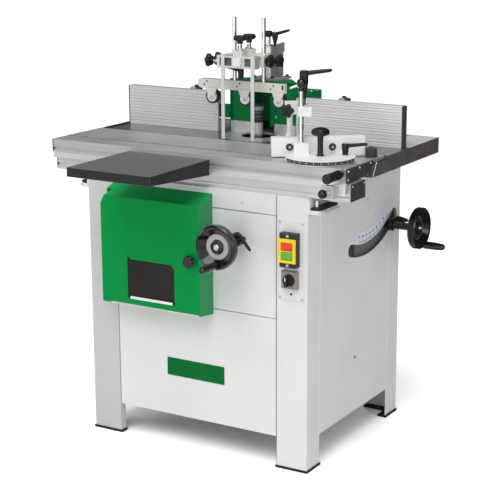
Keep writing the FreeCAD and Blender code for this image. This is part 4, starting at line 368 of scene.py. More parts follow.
black = Look("black_plastic", grey(22, 29), (0.32, 0.44), scale=40, grain=1800, bump=0.08,
             edge=lin(54, 54, 56), specular=0.35)
gloss_black = Look("gloss_black", grey(12, 18), (0.1, 0.2), scale=30, grain=1500, bump=0.02, coat=0.4,
                   edge=lin(60, 60, 62), specular=0.4)
cap = Look("cap_plastic", (lin(56, 56, 58), lin(64, 64, 66)), (0.42, 0.55), scale=30, grain=1500, bump=0.1,
           edge=lin(80, 81, 83), specular=0.3)
rubber = Look("rubber", grey(24, 32), (0.62, 0.8), scale=60, bump=0.2, specular=0.3)
switch_box = Look("switch_plastic", grey(42, 50), (0.4, 0.5), scale=50, grain=1600, bump=0.1,
                  edge=lin(84, 84, 84), specular=0.3)
red = Look("red_plastic", (lin(232, 52, 44), lin(240, 62, 52)), (0.18, 0.28), scale=40, grain=1500, bump=0.03)
button_green = Look("green_plastic", (lin(84, 180, 66), lin(96, 188, 76)), (0.25, 0.35), scale=40,
                    grain=1500, bump=0.03)
yellow = Look("yellow_plastic", (lin(250, 214, 12), lin(252, 220, 24)), (0.35, 0.45), scale=40, grain=1500,
              bump=0.04, specular=0.3)
window = Look("dark_pane", (lin(30, 29, 26), lin(38, 36, 33)), (0.24, 0.34), scale=6, grain=700, bump=0.01,
              specular=0.25)
scale_blue = Look("scale_plate", (lin(228, 235, 250), lin(233, 240, 252)), (0.4, 0.5), scale=20, bump=0.02)
ink = Look("scale_ink", grey(60, 70), (0.5, 0.6), scale=60, bump=0.02)
white_ink = Look("white_ink", grey(232, 240), (0.5, 0.6), scale=60, bump=0.02)

# The look of each node, and the slot set on each look

painted = {
    white: "cabinet_frame lower_front_panel middle_front_panel right_side_panel left_side_panel rear_panel",
    rubber: "rubber_feet drive_belt",
    cast: "machine_table",
    aluminium: "guide_rail sliding_table",
    bars: "pressure_bars",
    nut: "spindle_nut",
    stops: "stop_brackets",
    plate: "switch_plate",
    switch_box: "switch_housing",
    housing: "trunnion_brackets tilt_cradle quill_housing",
    dark_green: "fence_hood",
    zinc: "hood_skirt",
    frame_grey: "hold_down_frame",
    steel: "shaft_bush spindle motor_pulley",
    shoes: "carriage_shoes",
    tray: "extension_table",
    black: "push_handle height_lock tilt_lock selector_knob mitre_handle mitre_lever "
           "clamp_lever rod_top_knob rod_side_knob bar_top_knob bar_side_knob",
    gloss_black: "height_handwheel tilt_handwheel front_crank_grip side_crank_grip door_knob",
    plunger: "lock_plunger",
    bright: "mitre_plate mitre_fence clamp_arm",
    chrome: "clamp_post pressure_rods",
    fence_metal: "left_fence right_fence",
    cream: "roller_bar",
    motor: "motor",
    green: "access_door",
    window: "door_window",
    red: "stop_button",
    button_green: "start_button",
}
for name, centre in rollers.items():
    tyre = Look(f"roller_{name}_tyre", grey(24, 34), (0.5, 0.65), scale=60, bump=0.15)
    tyre.where(tyre.near(centre, 15.6, 16), grey(226, 236), (0.35, 0.45))
    painted[tyre] = f"roller_{name}"
for look, names in painted.items():
    for name in names.split():
        nodes[name].data.materials.clear()
        nodes[name].data.materials.append(look.material)

slots = {
    "aluminium": (bright, cream),
    "black_plastic": (black, gloss_black, cap, ink),
    "chrome": (chrome,),
    "paint_cream": (yellow,),
    "paint_dark_green": (dark_green, lit_inner_green),
    "paint_green": (green, label),
    "paint_grey": (scale_blue, ring_grey, frame_grey, cheek_grey),
    "paint_white": (white_ink, plate),
    "steel": (zinc,),
}
for slot, looks in slots.items():
    for look in looks:
        look.slot = slot


# Mesh tools

RIGHT, LEFT = Vector((1, 0, 0)), Vector((-1, 0, 0))
BACK, FRONT = Vector((0, 1, 0)), Vector((0, -1, 0))
UP, DOWN = Vector((0, 0, 1)), Vector((0, 0, -1))
ON_RIGHT_FACE = Matrix(((0, 0, 1, 0), (1, 0, 0, 0), (0, 1, 0, 0), (0, 0, 0, 1)))
GAUGE_ANGLE = 34.2
pivot = middle("mitre_handle")
GAUGE = Matrix.Translation((pivot.x, pivot.y, 0)) @ Matrix.Rotation(math.radians(GAUGE_ANGLE), 4, "Z")
POINT_RADIUS = 0.02
DIGIT_DEPTH = 0.15
SHARP_ANGLE = 36
BEVEL_ANGLE = 40


def aim(at, direction):
    """A placement whose own Z runs along a direction."""
    return Matrix.Translation(at) @ direction.to_track_quat("Z", "Y").to_matrix().to_4x4()


def rectangle(low_u, high_u, low_v, high_v):
    return (low_u, low_v), (high_u, low_v), (high_u, high_v), (low_u, high_v)


class Shape:
    """A mesh drawn in the shared frame, or in a turned one such as the mitre gauge's."""

    def __init__(self, turn=Matrix()):
        self.bm = bmesh.new()
        self.turn = turn

    def rings(self, rings):
        """Skins a row of point rings and closes its ends."""
        rows = [[self.bm.verts.new(self.turn @ Vector(point)) for point in ring] for ring in rings]
        count = len(rows[0])
        for low, high in zip(rows, rows[1:]):
            for index in range(count):
                after = (index + 1) % count
                self.bm.faces.new((low[index], low[after], high[after], high[index]))
        self.bm.faces.new(list(reversed(rows[0])))
        self.bm.faces.new(rows[-1])
        return self

    def star(self, at, direction, profile, lobes=5, depth=0.12, steps=70, turn_deg=0.0):
        """Turns rows of radius, height and lobe strength about a direction."""
        place = aim(at, direction)
        rows = []
        for radius, height, strength in profile:
            row = []
            for k in range(steps):
                angle = 2 * math.pi * k / steps
                wave = 1 - depth * strength * (1 - math.cos(lobes * angle - math.radians(turn_deg)))
                reach = max(radius, POINT_RADIUS) * wave
                row.append(place @ Vector((reach * math.cos(angle), reach * math.sin(angle), height)))
            rows.append(row)
        return self.rings(rows)

    def lathe(self, at, direction, profile, steps=40):
        """Turns (radius, height) pairs about a direction."""
        return self.star(at, direction, [(radius, height, 0) for radius, height in profile], steps=steps)

    def prism(self, points, span, axis):
        """Extrudes an outline; its points are the two other coordinates in X, Y, Z order."""
        place = "xyz".index(axis)
        rings = []
        for along in span:
            ring = []
            for pair in points:
                spot = list(pair)
                spot.insert(place, along)
                ring.append(spot)
            rings.append(ring)
        return self.rings(rings)

    def tab(self, turn, outline, heights):
        """Raises an outline between two heights of a turned placement."""
        return self.rings([[turn @ Vector((x, y, z)) for x, y in outline] for z in heights])

    def box(self, low, high):
        return self.prism(rectangle(low[0], high[0], low[1], high[1]), (low[2], high[2]), "z")

    def round_box(self, low, high, corner, axis, steps=5):
        """A plate with rounded corners, seen along the axis."""
        place = "xyz".index(axis)
        (low_u, high_u), (low_v, high_v) = [(low[k], high[k]) for k in range(3) if k != place]
        near_u, far_u, near_v, far_v = low_u + corner, high_u - corner, low_v + corner, high_v - corner
        points = []
        for index, centre in enumerate(((far_u, far_v), (near_u, far_v), (near_u, near_v), (far_u, near_v))):
            for k in range(steps + 1):
                angle = math.pi / 2 * (index + k / steps)
                points.append((centre[0] + corner * math.cos(angle), centre[1] + corner * math.sin(angle)))
        return self.prism(points, (low[place], high[place]), axis)

    def band(self, centre, inner, outer, start, end, span, steps=60):
        """A ring sector on a side face about a centre in Y and Z, with angles from straight down."""
        ring = []
        for radius, order in ((inner, range(steps + 1)), (outer, range(steps, -1, -1))):
            for k in order:
                angle = math.radians(start + (end - start) * k / steps)
                ring.append((centre[0] + radius * math.sin(angle), centre[1] - radius * math.cos(angle)))
        return self.prism(ring, span, "x")

    def sweep(self, path, sizes, steps=16):
        """Draws an oval section along a path; sizes are half-widths across and up."""
        spots = [Vector(point) for point in path]
        rows = []
        for index, (spot, (width, height)) in enumerate(zip(spots, sizes)):
            ahead = spots[min(index + 1, len(spots) - 1)] - spots[max(index - 1, 0)]
            across = ahead.cross(UP).normalized()
            above = across.cross(ahead).normalized()
            angles = [2 * math.pi * k / steps for k in range(steps)]
            rows.append([spot + across * width * math.cos(a) + above * height * math.sin(a) for a in angles])
        return self.rings(rows)

    def rod(self, start, run, stations):
        """Sweeps a round section along a straight run; stations are shares of the run with radii."""
        path = [Vector(start) + Vector(run) * share for share, radius in stations]
        return self.sweep(path, [(radius, radius) for share, radius in stations])

    def screw(self, at, direction, radius, height=None):
        """A socket-head screw on its washer."""
        height = height or radius * 0.8
        washer = radius * 1.5
        socket_floor = height * 0.45
        return self.lathe(at, direction, (
            (washer, -0.3), (washer, radius * 0.22), (radius, radius * 0.24), (radius, height * 0.85),
            (radius * 0.86, height), (radius * 0.55, height), (radius * 0.5, socket_floor),
            (0, socket_floor)), 24)

    def screws(self, places, direction, radius):
        for place in places:
            self.screw(place, direction, radius)
        return self

    def text(self, words, size, placement):
        curve = bpy.data.curves.new("digits", "FONT")
        curve.body = words
        curve.size = size
        curve.align_x = "CENTER"
        curve.align_y = "CENTER"
        curve.extrude = DIGIT_DEPTH
        carrier = bpy.data.objects.new("digits", curve)
        scene.collection.objects.link(carrier)
        bpy.context.view_layer.update()
        mesh = bpy.data.meshes.new_from_object(carrier)
        mesh.transform(placement)
        self.bm.from_mesh(mesh)
        bpy.data.objects.remove(carrier)
        bpy.data.curves.remove(curve)
        bpy.data.meshes.remove(mesh)
        return self


def piece(name, shape, body, look, bevel=0.4, replaces=()):
    """Makes a shape an object of the scene that rides a body."""
    bmesh.ops.recalc_face_normals(shape.bm, faces=shape.bm.faces)
    mesh = bpy.data.meshes.new(name)
    shape.bm.to_mesh(mesh)
    shape.bm.free()
    mesh.transform(Matrix.Scale(MM, 4))
    mesh.shade_smooth()
    mesh.set_sharp_from_angle(angle=math.radians(SHARP_ANGLE))
    mesh.materials.append(look.material)
    obj = bpy.data.objects.new(name, mesh)
    scene.collection.objects.link(obj)
    if bevel:
        edges = obj.modifiers.new("edges", "BEVEL")
        edges.width = bevel * MM
        edges.segments = 2
        edges.limit_method = "ANGLE"
        edges.angle_limit = math.radians(BEVEL_ANGLE)
    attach(obj, body)
    if replaces:
        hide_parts(*replaces)


# End caps of the tables, the rail and the fences

CAP = 4
RAIL_CAP = 3.4
CAP_SCREW = 2.6
ENDS = (("right", 1, RIGHT), ("left", 0, LEFT))

front, top = slider[0].y, slider[1].z
cap_outline = ((front - 0.4, top - 0.2), (front + 154, top - 0.2), (front + 154, top - 9.4),
               (front + 134, top - 9.4), (front + 118, top - 36), (front - 0.4, top - 36))
cap_screws = ((front + 7, top - 7), (front + 7, top - 29), (front + 74, top - 7), (front + 138, top - 5))
for name, end, out in ENDS:
    face = slider[end].x + out.x * CAP
    slider_cap = Shape().prism(cap_outline, sorted((slider[end].x + out.x * 0.1, face)), "x")
    piece(f"slider_cap_{name}", slider_cap, "sliding_table", cap, 0.8)
    screws = Shape().screws([(face, y, z) for y, z in cap_screws], out, CAP_SCREW)
    piece(f"slider_cap_screws_{name}", screws, "sliding_table", chrome, 0)
    face = rail[end].x + out.x * RAIL_CAP
    inner, outer = sorted((rail[end].x, face))
    rail_cap = Shape().round_box((inner, rail[0].y + 0.4, rail[0].z + 0.6),
                                 (outer, rail[1].y - 0.4, rail[1].z - 0.8), 3, "x")
    piece(f"rail_cap_{name}", rail_cap, "cabinet", cap, 0.6)
    screw_ys = (rail[0].y + 8, rail[1].y - 8)
    screws = Shape().screws([(face, y, rail[1].z - 7) for y in screw_ys], out, CAP_SCREW)
    piece(f"rail_cap_screws_{name}", screws, "cabinet", chrome, 0)
for name, end, out in ENDS:
    fence = corners(f"{name}_fence")
    face = fence[end].x + out.x * CAP
    low_y, high_y, low_z, high_z = fence[0].y + 0.4, fence[1].y - 0.2, fence[0].z + 0.3, fence[1].z - 0.3
    fence_cap = Shape().prism(rectangle(low_y, high_y, low_z, high_z), sorted((fence[end].x, face)), "x")
    fence_cap.screws([(face, (fence[0].y + fence[1].y) / 2, z) for z in (low_z + 19.4, high_z - 17)], out, 3)
    piece(f"{name}_fence_cap", fence_cap, f"{name}_fence", cap, 0.6)

edge_y, edge_top, edge_foot = table[0].y, table[1].z - 5, table[0].z + 2
strip = Shape().prism(((edge_y + 21.5, edge_top), (edge_y + 24.5, edge_top), (edge_y + 3.2, edge_foot),
                       (edge_y + 0.2, edge_foot)), (table[1].x + 0.1, table[1].x + 0.8), "x")
piece("table_edge_strip", strip, "cabinet", bright, 0)

# Tilt scale on the right side, about the spindle's axis in the table's top

TILT_RANGE = 45
ZERO_MARK = 36
MARK_RADIUS = 278
DIGIT_RADIUS = 260
centre = (spindle.y, table[1].z)
ticks = Shape()
for degree in range(TILT_RANGE + 1):
    angle = ZERO_MARK - degree
    length = 11 if degree % 5 == 0 else 6
    ticks.band(centre, MARK_RADIUS - length, MARK_RADIUS, angle - 0.12, angle + 0.12,
               (SIDE_X + 0.6, SIDE_X + 0.9), 2)
for degree in range(0, TILT_RANGE + 1, 5):
    angle = math.radians(ZERO_MARK - degree)
    spot = Vector((SIDE_X + 1, centre[0] + DIGIT_RADIUS * math.sin(angle),
                   centre[1] - DIGIT_RADIUS * math.cos(angle)))
    ticks.text(str(degree), 10, Matrix.Translation(spot) @ Matrix.Rotation(angle, 4, "X") @ ON_RIGHT_FACE)
tilt_scale = Shape().band(centre, 246, 280, -11.5, 40.5, (SIDE_X + 0.1, SIDE_X + 0.6))
piece("tilt_scale", tilt_scale, "cabinet", scale_blue, 0)
piece("tilt_scale_marks", ticks, "cabinet", ink, 0)

# Mitre scale round the plate's rim

PLATE_TOP = 878
RIM_RADIUS = 94
RIM_START = -167
RIM_SPAN = 144
RIM_STEPS = 60
MARK_PITCH = 4
band = Shape(GAUGE)
marks = Shape(GAUGE)
rim = rectangle(RIM_RADIUS - 0.8, RIM_RADIUS, PLATE_TOP - 10, PLATE_TOP - 1)
rows = []
for k in range(RIM_STEPS + 1):
    angle = math.radians(RIM_START + RIM_SPAN * k / RIM_STEPS)
    rows.append([(radius * math.cos(angle), radius * math.sin(angle), z) for radius, z in rim])
band.rings(rows)
for k in range(RIM_SPAN // MARK_PITCH + 1):
    turn = Matrix.Rotation(math.radians(RIM_START + MARK_PITCH * k), 4, "Z")
    half, drop = (1.1, 3.8) if k % 3 == 0 else (0.3, 5.4)
    outline = rectangle(RIM_RADIUS - 0.1, RIM_RADIUS + 0.2, -half, half)
    marks.tab(turn, outline, (PLATE_TOP - 6.8, PLATE_TOP - drop))
piece("mitre_scale", band, "mitre_gauge", cap, 0)
piece("mitre_scale_marks", marks, "mitre_gauge", white_ink, 0)

# Faces of the two handwheels

CRANK_REACH = 64.6
DIAL_MARKS = 40
front_wheel, side_wheel = middle("height_handwheel"), middle("tilt_handwheel")
front_face = corners("height_handwheel")[0].y + CRANK_REACH
side_face = corners("tilt_handwheel")[1].x - CRANK_REACH
for body, at, out, ring_look, mark_look in (
        ("height_handwheel", (front_wheel.x, front_face, front_wheel.z), FRONT, ring_grey, ink),
        ("tilt_handwheel", (side_face, side_wheel.y, side_wheel.z), RIGHT, cap, white_ink)):
    at = Vector(at)
    disc = Shape().lathe(at, out, (
        (20.2, -0.2), (20.2, 1), (34.4, 1), (35.2, 0.4), (35.2, -0.2), (20.2, -0.2)), 64)
    piece(f"{body}_ring", disc, body, ring_look, 0)
    marks = Shape()
    for k in range(DIAL_MARKS):
        turn = aim(at, out) @ Matrix.Rotation(2 * math.pi * k / DIAL_MARKS, 4, "Z")
        inner = 30.5 if k % 5 == 0 else 32
        marks.tab(turn, rectangle(inner, 34, -0.25, 0.25), (0.9, 1.15))
    piece(f"{body}_marks", marks, body, mark_look, 0)
    hub = Shape().lathe(at + out * 3, out, ((19.6, -0.5), (19.6, 1.5), (17, 3.2), (11, 3.8), (0, 3.8)), 48)
    piece(f"{body}_centre", hub, body, gloss_black, 0.3)
    bolt = Shape().lathe(at + out * 6.6, out, ((8.2, 0), (8.2, 1.4), (7.4, 1.8), (0, 1.8)), 32)
    bolt.lathe(at + out * 8.2, out, ((5.6, 0), (5.6, 3), (4.8, 3.8), (2.8, 3.8), (2.6, 1.8), (0, 1.8)), 6)
    piece(f"{body}_bolt", bolt, body, chrome, 0.3)


# Star knobs of the hold-down, the mitre gauge and the fence

KNOB = ((7.5, -5, 0), (8.5, -4, 0), (8.5, 2, 0), (15.5, 4, 0.5), (18.6, 6, 1), (19.5, 9, 1), (19.5, 13, 1),
        (18.4, 16, 1), (15, 18, 0.8), (9.5, 18.6, 0.2), (8, 18, 0), (0, 17.6, 0))
KNOB_STEM = 26
SHORT_STEM = 12
HALF_LOBE = 60


def star_knob(name, body, at, direction, stem, replaces=(), frame_turn=Matrix(), turn_deg=0.0):
    """A five-lobed knob on a bright neck."""
    neck = Shape(frame_turn).lathe(at, direction, (
        (6, 0.3), (6.6, 1.2), (6.6, stem * 0.4), (5.6, stem * 0.45), (5.6, stem)), 32)
    piece(f"{name}_neck", neck, body, chrome, 0.2)
    base = Vector(at) + direction * (stem - 3)
    head = Shape(frame_turn).star(base, direction, KNOB, turn_deg=turn_deg)
    head.lathe(base + direction * 17.4, direction, ((5.4, 0), (5.4, 0.9), (4.6, 1.3), (0, 1.3)), 24)
    piece(f"{name}_head", head, body, black, 0.3, replaces)


ROD_Y = 6
BAR_Y = -44
KNOB_TOP = hold_down[1].z
KNOB_SIDE = KNOB_TOP - 33.5
COLUMN = (4, 122)
COLUMN_TOP = 1121
CHEEK_FACE = 21.2
for name, x, z, out in (("top", spindle.x, KNOB_TOP, UP), ("side", hold_down[0].x, KNOB_SIDE, LEFT)):
    for unit, y, turn_deg in (("rod", ROD_Y, 0.0), ("bar", BAR_Y, HALF_LOBE)):
        node = f"{unit}_{name}_knob"
        star_knob(f"{unit}_{name}", node, (x, y, z), out, KNOB_STEM, (node,), turn_deg=turn_deg)
star_knob("rod_right", "cabinet", (hold_down[1].x, ROD_Y, KNOB_SIDE), RIGHT, 5)
star_knob("column_right", "cabinet", (CHEEK_FACE, COLUMN[1], 1078), RIGHT, SHORT_STEM, turn_deg=HALF_LOBE)
star_knob("arm_clamp", "clamp_arm", (-86, 54, 994), FRONT, SHORT_STEM, frame_turn=GAUGE)
CLAMP_BACK = 101
for name, offset in (("left", -252), ("right", 252)):
    x = spindle.x + offset
    block = Shape().prism(((x - 14, 905), (x + 14, 905), (x + 14, 975), (x + 6, 988), (x - 6, 988),
                           (x - 14, 975)), (93.2, CLAMP_BACK), "y")
    block.screw((x, CLAMP_BACK, 918), BACK, 4)
    piece(f"fence_clamp_{name}", block, "cabinet", zinc, 0.8)
    star_knob(f"fence_clamp_{name}", "cabinet", (x, CLAMP_BACK, 972), BACK, SHORT_STEM)


# Clamp levers

def lever(name, body, at, rise, radius, tip, replaces=(), frame_turn=Matrix(), foot=0.78):
    """A tapered hub with a straight arm from its top to the tip."""
    at, tip = Vector(at), Vector(tip)
    shape = Shape(frame_turn).lathe(at, UP, (
        (radius * foot, 0), (radius * foot, rise * 0.12), (radius, rise * 0.66), (radius, rise * 0.94),
        (radius * 0.9, rise), (radius * 0.5, rise * 1.01), (0, rise * 1.01)), 36)
    start = at + UP * (rise - radius * 0.62)
    path = [start + (tip - start) * share for share in (0, 0.1, 0.3, 0.5, 0.7, 0.86, 0.95, 0.985, 1.0)]
    sizes = [(s * radius, s * radius) for s in (0.56, 0.56, 0.52, 0.48, 0.45, 0.42, 0.36, 0.24, 0.05)]
    shape.sweep(path, sizes, 20)
    piece(name, shape, body, black, 0.3, replaces)
    insert = Shape(frame_turn).lathe(at + UP * rise, UP, (
        (radius * 0.5, 0), (radius * 0.5, 1.6), (radius * 0.3, 2), (0, 1.4)), 24)
    piece(f"{name}_insert", insert, body, zinc, 0)


MITRE_LEVER = (68, 9)
ARM_TOP = 1005.4
lever("mitre_clamp_lever", "mitre_lever", (*MITRE_LEVER, PLATE_TOP + 0.4), 30, 10, (128, 9, PLATE_TOP + 28),
      ("mitre_lever",), GAUGE)
lever("work_clamp_lever", "clamp_lever", (-38, 70, ARM_TOP), 91, 12, (38, 70, ARM_TOP + 91.6),
      ("clamp_lever",), GAUGE, 0.45)
lever("column_lever", "cabinet", (26, 121, COLUMN_TOP + 0.2), 40, 9, (76, 120, COLUMN_TOP + 49), foot=0.4)
beam_lever = Shape().lathe((-8, -17, 1079), DOWN, (
    (4.6, 0), (4.6, 8), (8.6, 9), (9, 14), (8, 38), (6, 40), (0, 40)), 32)
beam_lever.sweep([(-8 - 90 * share, -17, 1062 + 17 * share) for share in (0, 0.15, 0.4, 0.7, 0.9, 0.97, 1)],
                 [(5, 5), (4.6, 5), (4.2, 4.6), (4, 4.6), (4, 4.4), (3, 3), (0.4, 0.4)])
piece("beam_lever", beam_lever, "cabinet", black, 0.3)
knob = Shape().lathe((*COLUMN, COLUMN_TOP + 25), UP, (
    (5, 0), (8, 1.5), (11.5, 5), (12, 11), (11, 16), (7.5, 18.5), (0, 19)), 40)
piece("column_knob", knob, "cabinet", black, 0.3)
neck = Shape().lathe((*COLUMN, COLUMN_TOP), UP, ((8, 0), (8, 4), (5.6, 4.4), (5.6, 26)), 32)
piece("column_knob_neck", neck, "cabinet", chrome, 0.2)

x, z = front_wheel.x, front_wheel.z
lock = Shape().lathe((x, -310, z), BACK, (
    (13.4, 0), (18.6, 0), (19.2, 1), (19.2, 12), (18.6, 13), (13.4, 13)), 40)
lock.prism(((x + 13, z - 9), (x + 31, z - 5), (x + 31, z + 11), (x + 13, z + 14)), (-309.5, -298), "y")
lock.lathe((x + 24, -308, z + 4), FRONT, (
    (8.5, 0), (8.5, 6), (7, 7), (7, 15), (8, 16), (8, 20), (6.5, 21), (0, 21)), 28)
lock.rod((x + 20, -324, z + 28), (42, 0, -47), (
    (0, 2.4), (0.04, 4.6), (0.12, 5.2), (0.3, 4.8), (0.6, 4.2), (0.86, 4.4), (0.96, 3.4), (1, 0.6)))
piece("height_lock_lever", lock, "height_lock", black, 0.3, ("height_lock",))

y, z = side_wheel.y, side_wheel.z
lock = Shape().lathe((SIDE_X + 3.4, y, z), RIGHT, (
    (11.4, 0), (16.6, 0), (17.2, 1), (17.2, 12.6), (16.6, 13.6), (11.4, 13.6)), 40)
lock.sweep([(SIDE_X + 10, 217 + 112 * share, 608 + 10 * share - 24 * share * share)
            for share in (0, 0.1, 0.3, 0.5, 0.7, 0.88, 0.96, 1)],
           [(6, 9), (6.4, 13), (6.4, 15), (6, 12), (5, 8), (4.6, 5.6), (3.6, 4), (0.6, 0.8)])
piece("tilt_lock_lever", lock, "tilt_lock", black, 0.3, ("tilt_lock",))

# Knobs and fittings of the mitre gauge

head = Shape(GAUGE).lathe((0, 0, PLATE_TOP + 0.4), UP, (
    (9.5, 0), (9.5, 3), (8, 4.5), (7.4, 28), (8.2, 50), (11, 55), (0, 55)), 40)
head.star((0, 0, PLATE_TOP + 53), UP, (
    (9, 0, 0), (17, 1.5, 0.4), (23.5, 5, 1), (25, 9, 1), (24.6, 14, 1), (21.5, 18.5, 0.8), (15, 21.5, 0.4),
    (7, 22.8, 0), (0, 23, 0)), lobes=4, depth=0.07, steps=80)
piece("mitre_knob", head, "mitre_handle", black, 0.3, ("mitre_handle",))
washers = Shape(GAUGE)
for place, radius in (((0, 0), 14), (MITRE_LEVER, 12)):
    washers.lathe((*place, PLATE_TOP), UP, (
        (radius, 0.02), (radius, 0.2), (radius * 0.96, 0.34), (radius * 0.55, 0.34)), 40)
piece("mitre_washers", washers, "mitre_gauge", zinc, 0)
BALL = 13
ball_profile = [(6.5, 0), (6.5, 9)]
for degree in range(30, 181, 10):
    angle = math.radians(degree)
    ball_profile.append((BALL * math.sin(angle), 21 - BALL * math.cos(angle)))
ball = Shape(GAUGE).lathe((-48, 36, corners("clamp_post")[1].z), UP, ball_profile, 40)
piece("post_ball", ball, "mitre_gauge", gloss_black, 0)
bar = Shape().rod((293, -208, 1064), (-26, -17, -10), (
    (0, 3.2), (0.3, 3.2), (0.6, 3.2), (0.92, 3.2), (0.97, 2.4), (1, 0.4)))
piece("post_bar", bar, "mitre_gauge", chrome, 0)
bolts = Shape(GAUGE)
bolt_centres = Shape(GAUGE)
for x, z in ((-78, 894), (38, 893)):
    bolts.lathe((x, 48.5, z), FRONT, ((10, 0), (10, 1.6), (9.4, 2), (6.6, 2), (6.6, 7), (5.6, 8), (0, 8)), 32)
    bolt_centres.lathe((x, 40.8, z), FRONT, ((3, 0), (3, 0.5), (2.2, 0.8), (0, 0.6)), 20)
piece("mitre_fence_bolts", bolts, "mitre_gauge", cap, 0)
piece("mitre_bolt_centres", bolt_centres, "mitre_gauge", zinc, 0)
top = slider[1].z
block = Shape().prism(((-110, top + 1), (-86, top + 1), (-86, top + 22), (-91, top + 26), (-110, top + 26)),
                      (438, 462), "x")
block.box((436, -112, top + 0.4), (464, -84, top + 2.6))
block.screw((450, -97, top + 26), UP, 3.6)
piece("mitre_end_stop", block, "mitre_gauge", cap, 0.8)

# Hold-down: bolts, screw heads, the bar's slot, the rollers' nuts and the rods' guides

bolts = Shape()
for x, y in ((28, 100), (44, 162), (-32, 100), (-32, 162)):
    bolts.screw((x, y, foot_top), UP, 4.6, 6)
for x in (spindle.x - 10, spindle.x + 10):
    bolts.screw((x, ROD_Y, KNOB_TOP), UP, 2.2, 3)
piece("hold_down_bolts", bolts, "cabinet", black, 0)
dots = Shape()
for centre in rollers.values():
    for offset, rise in ((-16, 43.5), (-25, 34)):
        dots.screw((centre.x + offset, -1, centre.z + rise), FRONT, 1.7)
dots.round_box((117.5, -1.4, 1012.5), (123, -0.9, 1026), 2.6, "y")
piece("roller_bar_screws", dots, "pressure_unit", black, 0)
nuts = Shape()
for centre in rollers.values():
    nuts.lathe((centre.x, -4, centre.z), FRONT, ((5.4, 0), (5.4, 2.4), (4.6, 3), (2, 3), (0, 2.6)), 6)
piece("roller_nuts", nuts, "pressure_unit", zinc, 0.2)
guides = Shape()
for x in (spindle.x - 48.5, spindle.x + 48.5):
    guides.lathe((x, ROD_Y, 1108), UP, ((9, 0), (9, 3), (8.2, 4), (6.2, 4), (6.2, 0)), 32)
piece("rod_guides", guides, "cabinet", frame_grey, 0.3)

# Switch: yellow surround, screws and the selector's mark

SURROUND = 4
SIDE_GAP = 0.6
END_GAP = 0.8
box_low, box_high = corners("switch_housing")
start, stop = corners("start_button"), corners("stop_button")
left, right = box_low.x + 0.4, box_high.x - 0.4
bottom, top = start[0].z - 9, stop[1].z + 10.5
hole_left, hole_right = start[0].x - SIDE_GAP, start[1].x + SIDE_GAP
surround = Shape()
for low_x, high_x, low_z, high_z in (
        (left, hole_left, bottom, top), (hole_right, right, bottom, top),
        (hole_left, hole_right, bottom, start[0].z - END_GAP),
        (hole_left, hole_right, start[1].z + END_GAP, stop[0].z - END_GAP),
        (hole_left, hole_right, stop[1].z + END_GAP, top)):
    surround.box((low_x, box_low.y - SURROUND, low_z), (high_x, box_low.y + 0.1, high_z))
piece("switch_surround", surround, "cabinet", yellow, 0)
switch_x = middle("switch_housing").x
screws = Shape().screws([(switch_x, box_low.y, z) for z in (box_low.z + 6, box_high.z - 7)], FRONT, 2.8)
plate_low, plate_high = corners("switch_plate")
for x in (plate_low.x + 4.5, plate_high.x - 4.5):
    screws.screws([(x, box_high.y, z) for z in (plate_low.z + 5, plate_high.z - 6)], FRONT, 2.6)
piece("switch_screws", screws, "cabinet", zinc, 0)
selector_face, selector_top = corners("selector_knob")[0].y, corners("selector_knob")[1].z
mark = Shape().round_box((switch_x - 1.4, selector_face - 0.7, selector_top - 15),
                         (switch_x + 1.4, selector_face + 0.1, selector_top - 5), 1.2, "y")
piece("selector_mark", mark, "selector_knob", white_ink, 0)

# Cabinet: plain plate on the lower panel, screws and small fittings

SIGN_HALF = 96
sign = Shape().round_box((-SIGN_HALF, FRONT_Y - 1.2, 211), (SIGN_HALF, FRONT_Y, 264), 1.2, "y")
piece("plain_plate", sign, "cabinet", label, 0.3)
screws = Shape().screw((158, FRONT_Y, 744), FRONT, 2)
screws.screws([(-SIDE_X, y, z) for y in (-196, 196) for z in (120, 400, 640)], LEFT, 3)
screws.screws([(x, BACK_Y, z) for x in (-240, 0, 240) for z in (110, 600)], BACK, 3)
piece("panel_screws", screws, "cabinet", zinc, 0)
plugs = Shape().lathe((SIDE_X, 1, 255), RIGHT, ((4.2, -0.2), (4.2, 0.5), (3.4, 0.6), (0, 0.4)), 24)
plugs.lathe((switch_x, box_high.y - 0.1, 508), FRONT, ((3, -0.2), (3, 1.2), (2.2, 1.8), (0, 1.8)), 20)
piece("side_plugs", plugs, "cabinet", black, 0)
KNOCKOUT = (SIDE_X, 73, 692)
ring = Shape().lathe(KNOCKOUT, RIGHT, (
    (19.6, -0.2), (19.2, 1.4), (18, 1.9), (16.6, 1.4), (15.8, -0.05), (13.6, -0.05), (13.2, 0.8), (12, 1.2),
    (0, 1.2)), 48)
piece("knockout_ring", ring, "cabinet", plate, 0)
# A grey disc under the ring shows in its groove as a darker rim: painted shade.
groove = Shape().lathe(KNOCKOUT, RIGHT, ((15.7, -0.1), (15.7, 0.2), (0, 0.2)), 48)
piece("knockout_groove", groove, "cabinet", ring_grey, 0)
for name, x in (("left", -376), ("right", 376)):
    post = Shape().lathe((x, -266, 750), UP, ((6, 0), (6, 17), (5.2, 18), (3.2, 18.2), (3, 16), (0, 16)), 28)
    piece(f"stop_post_{name}", post, "cabinet", chrome, 0)

# Door: window trim, rivets, a bare edge and hinge caps

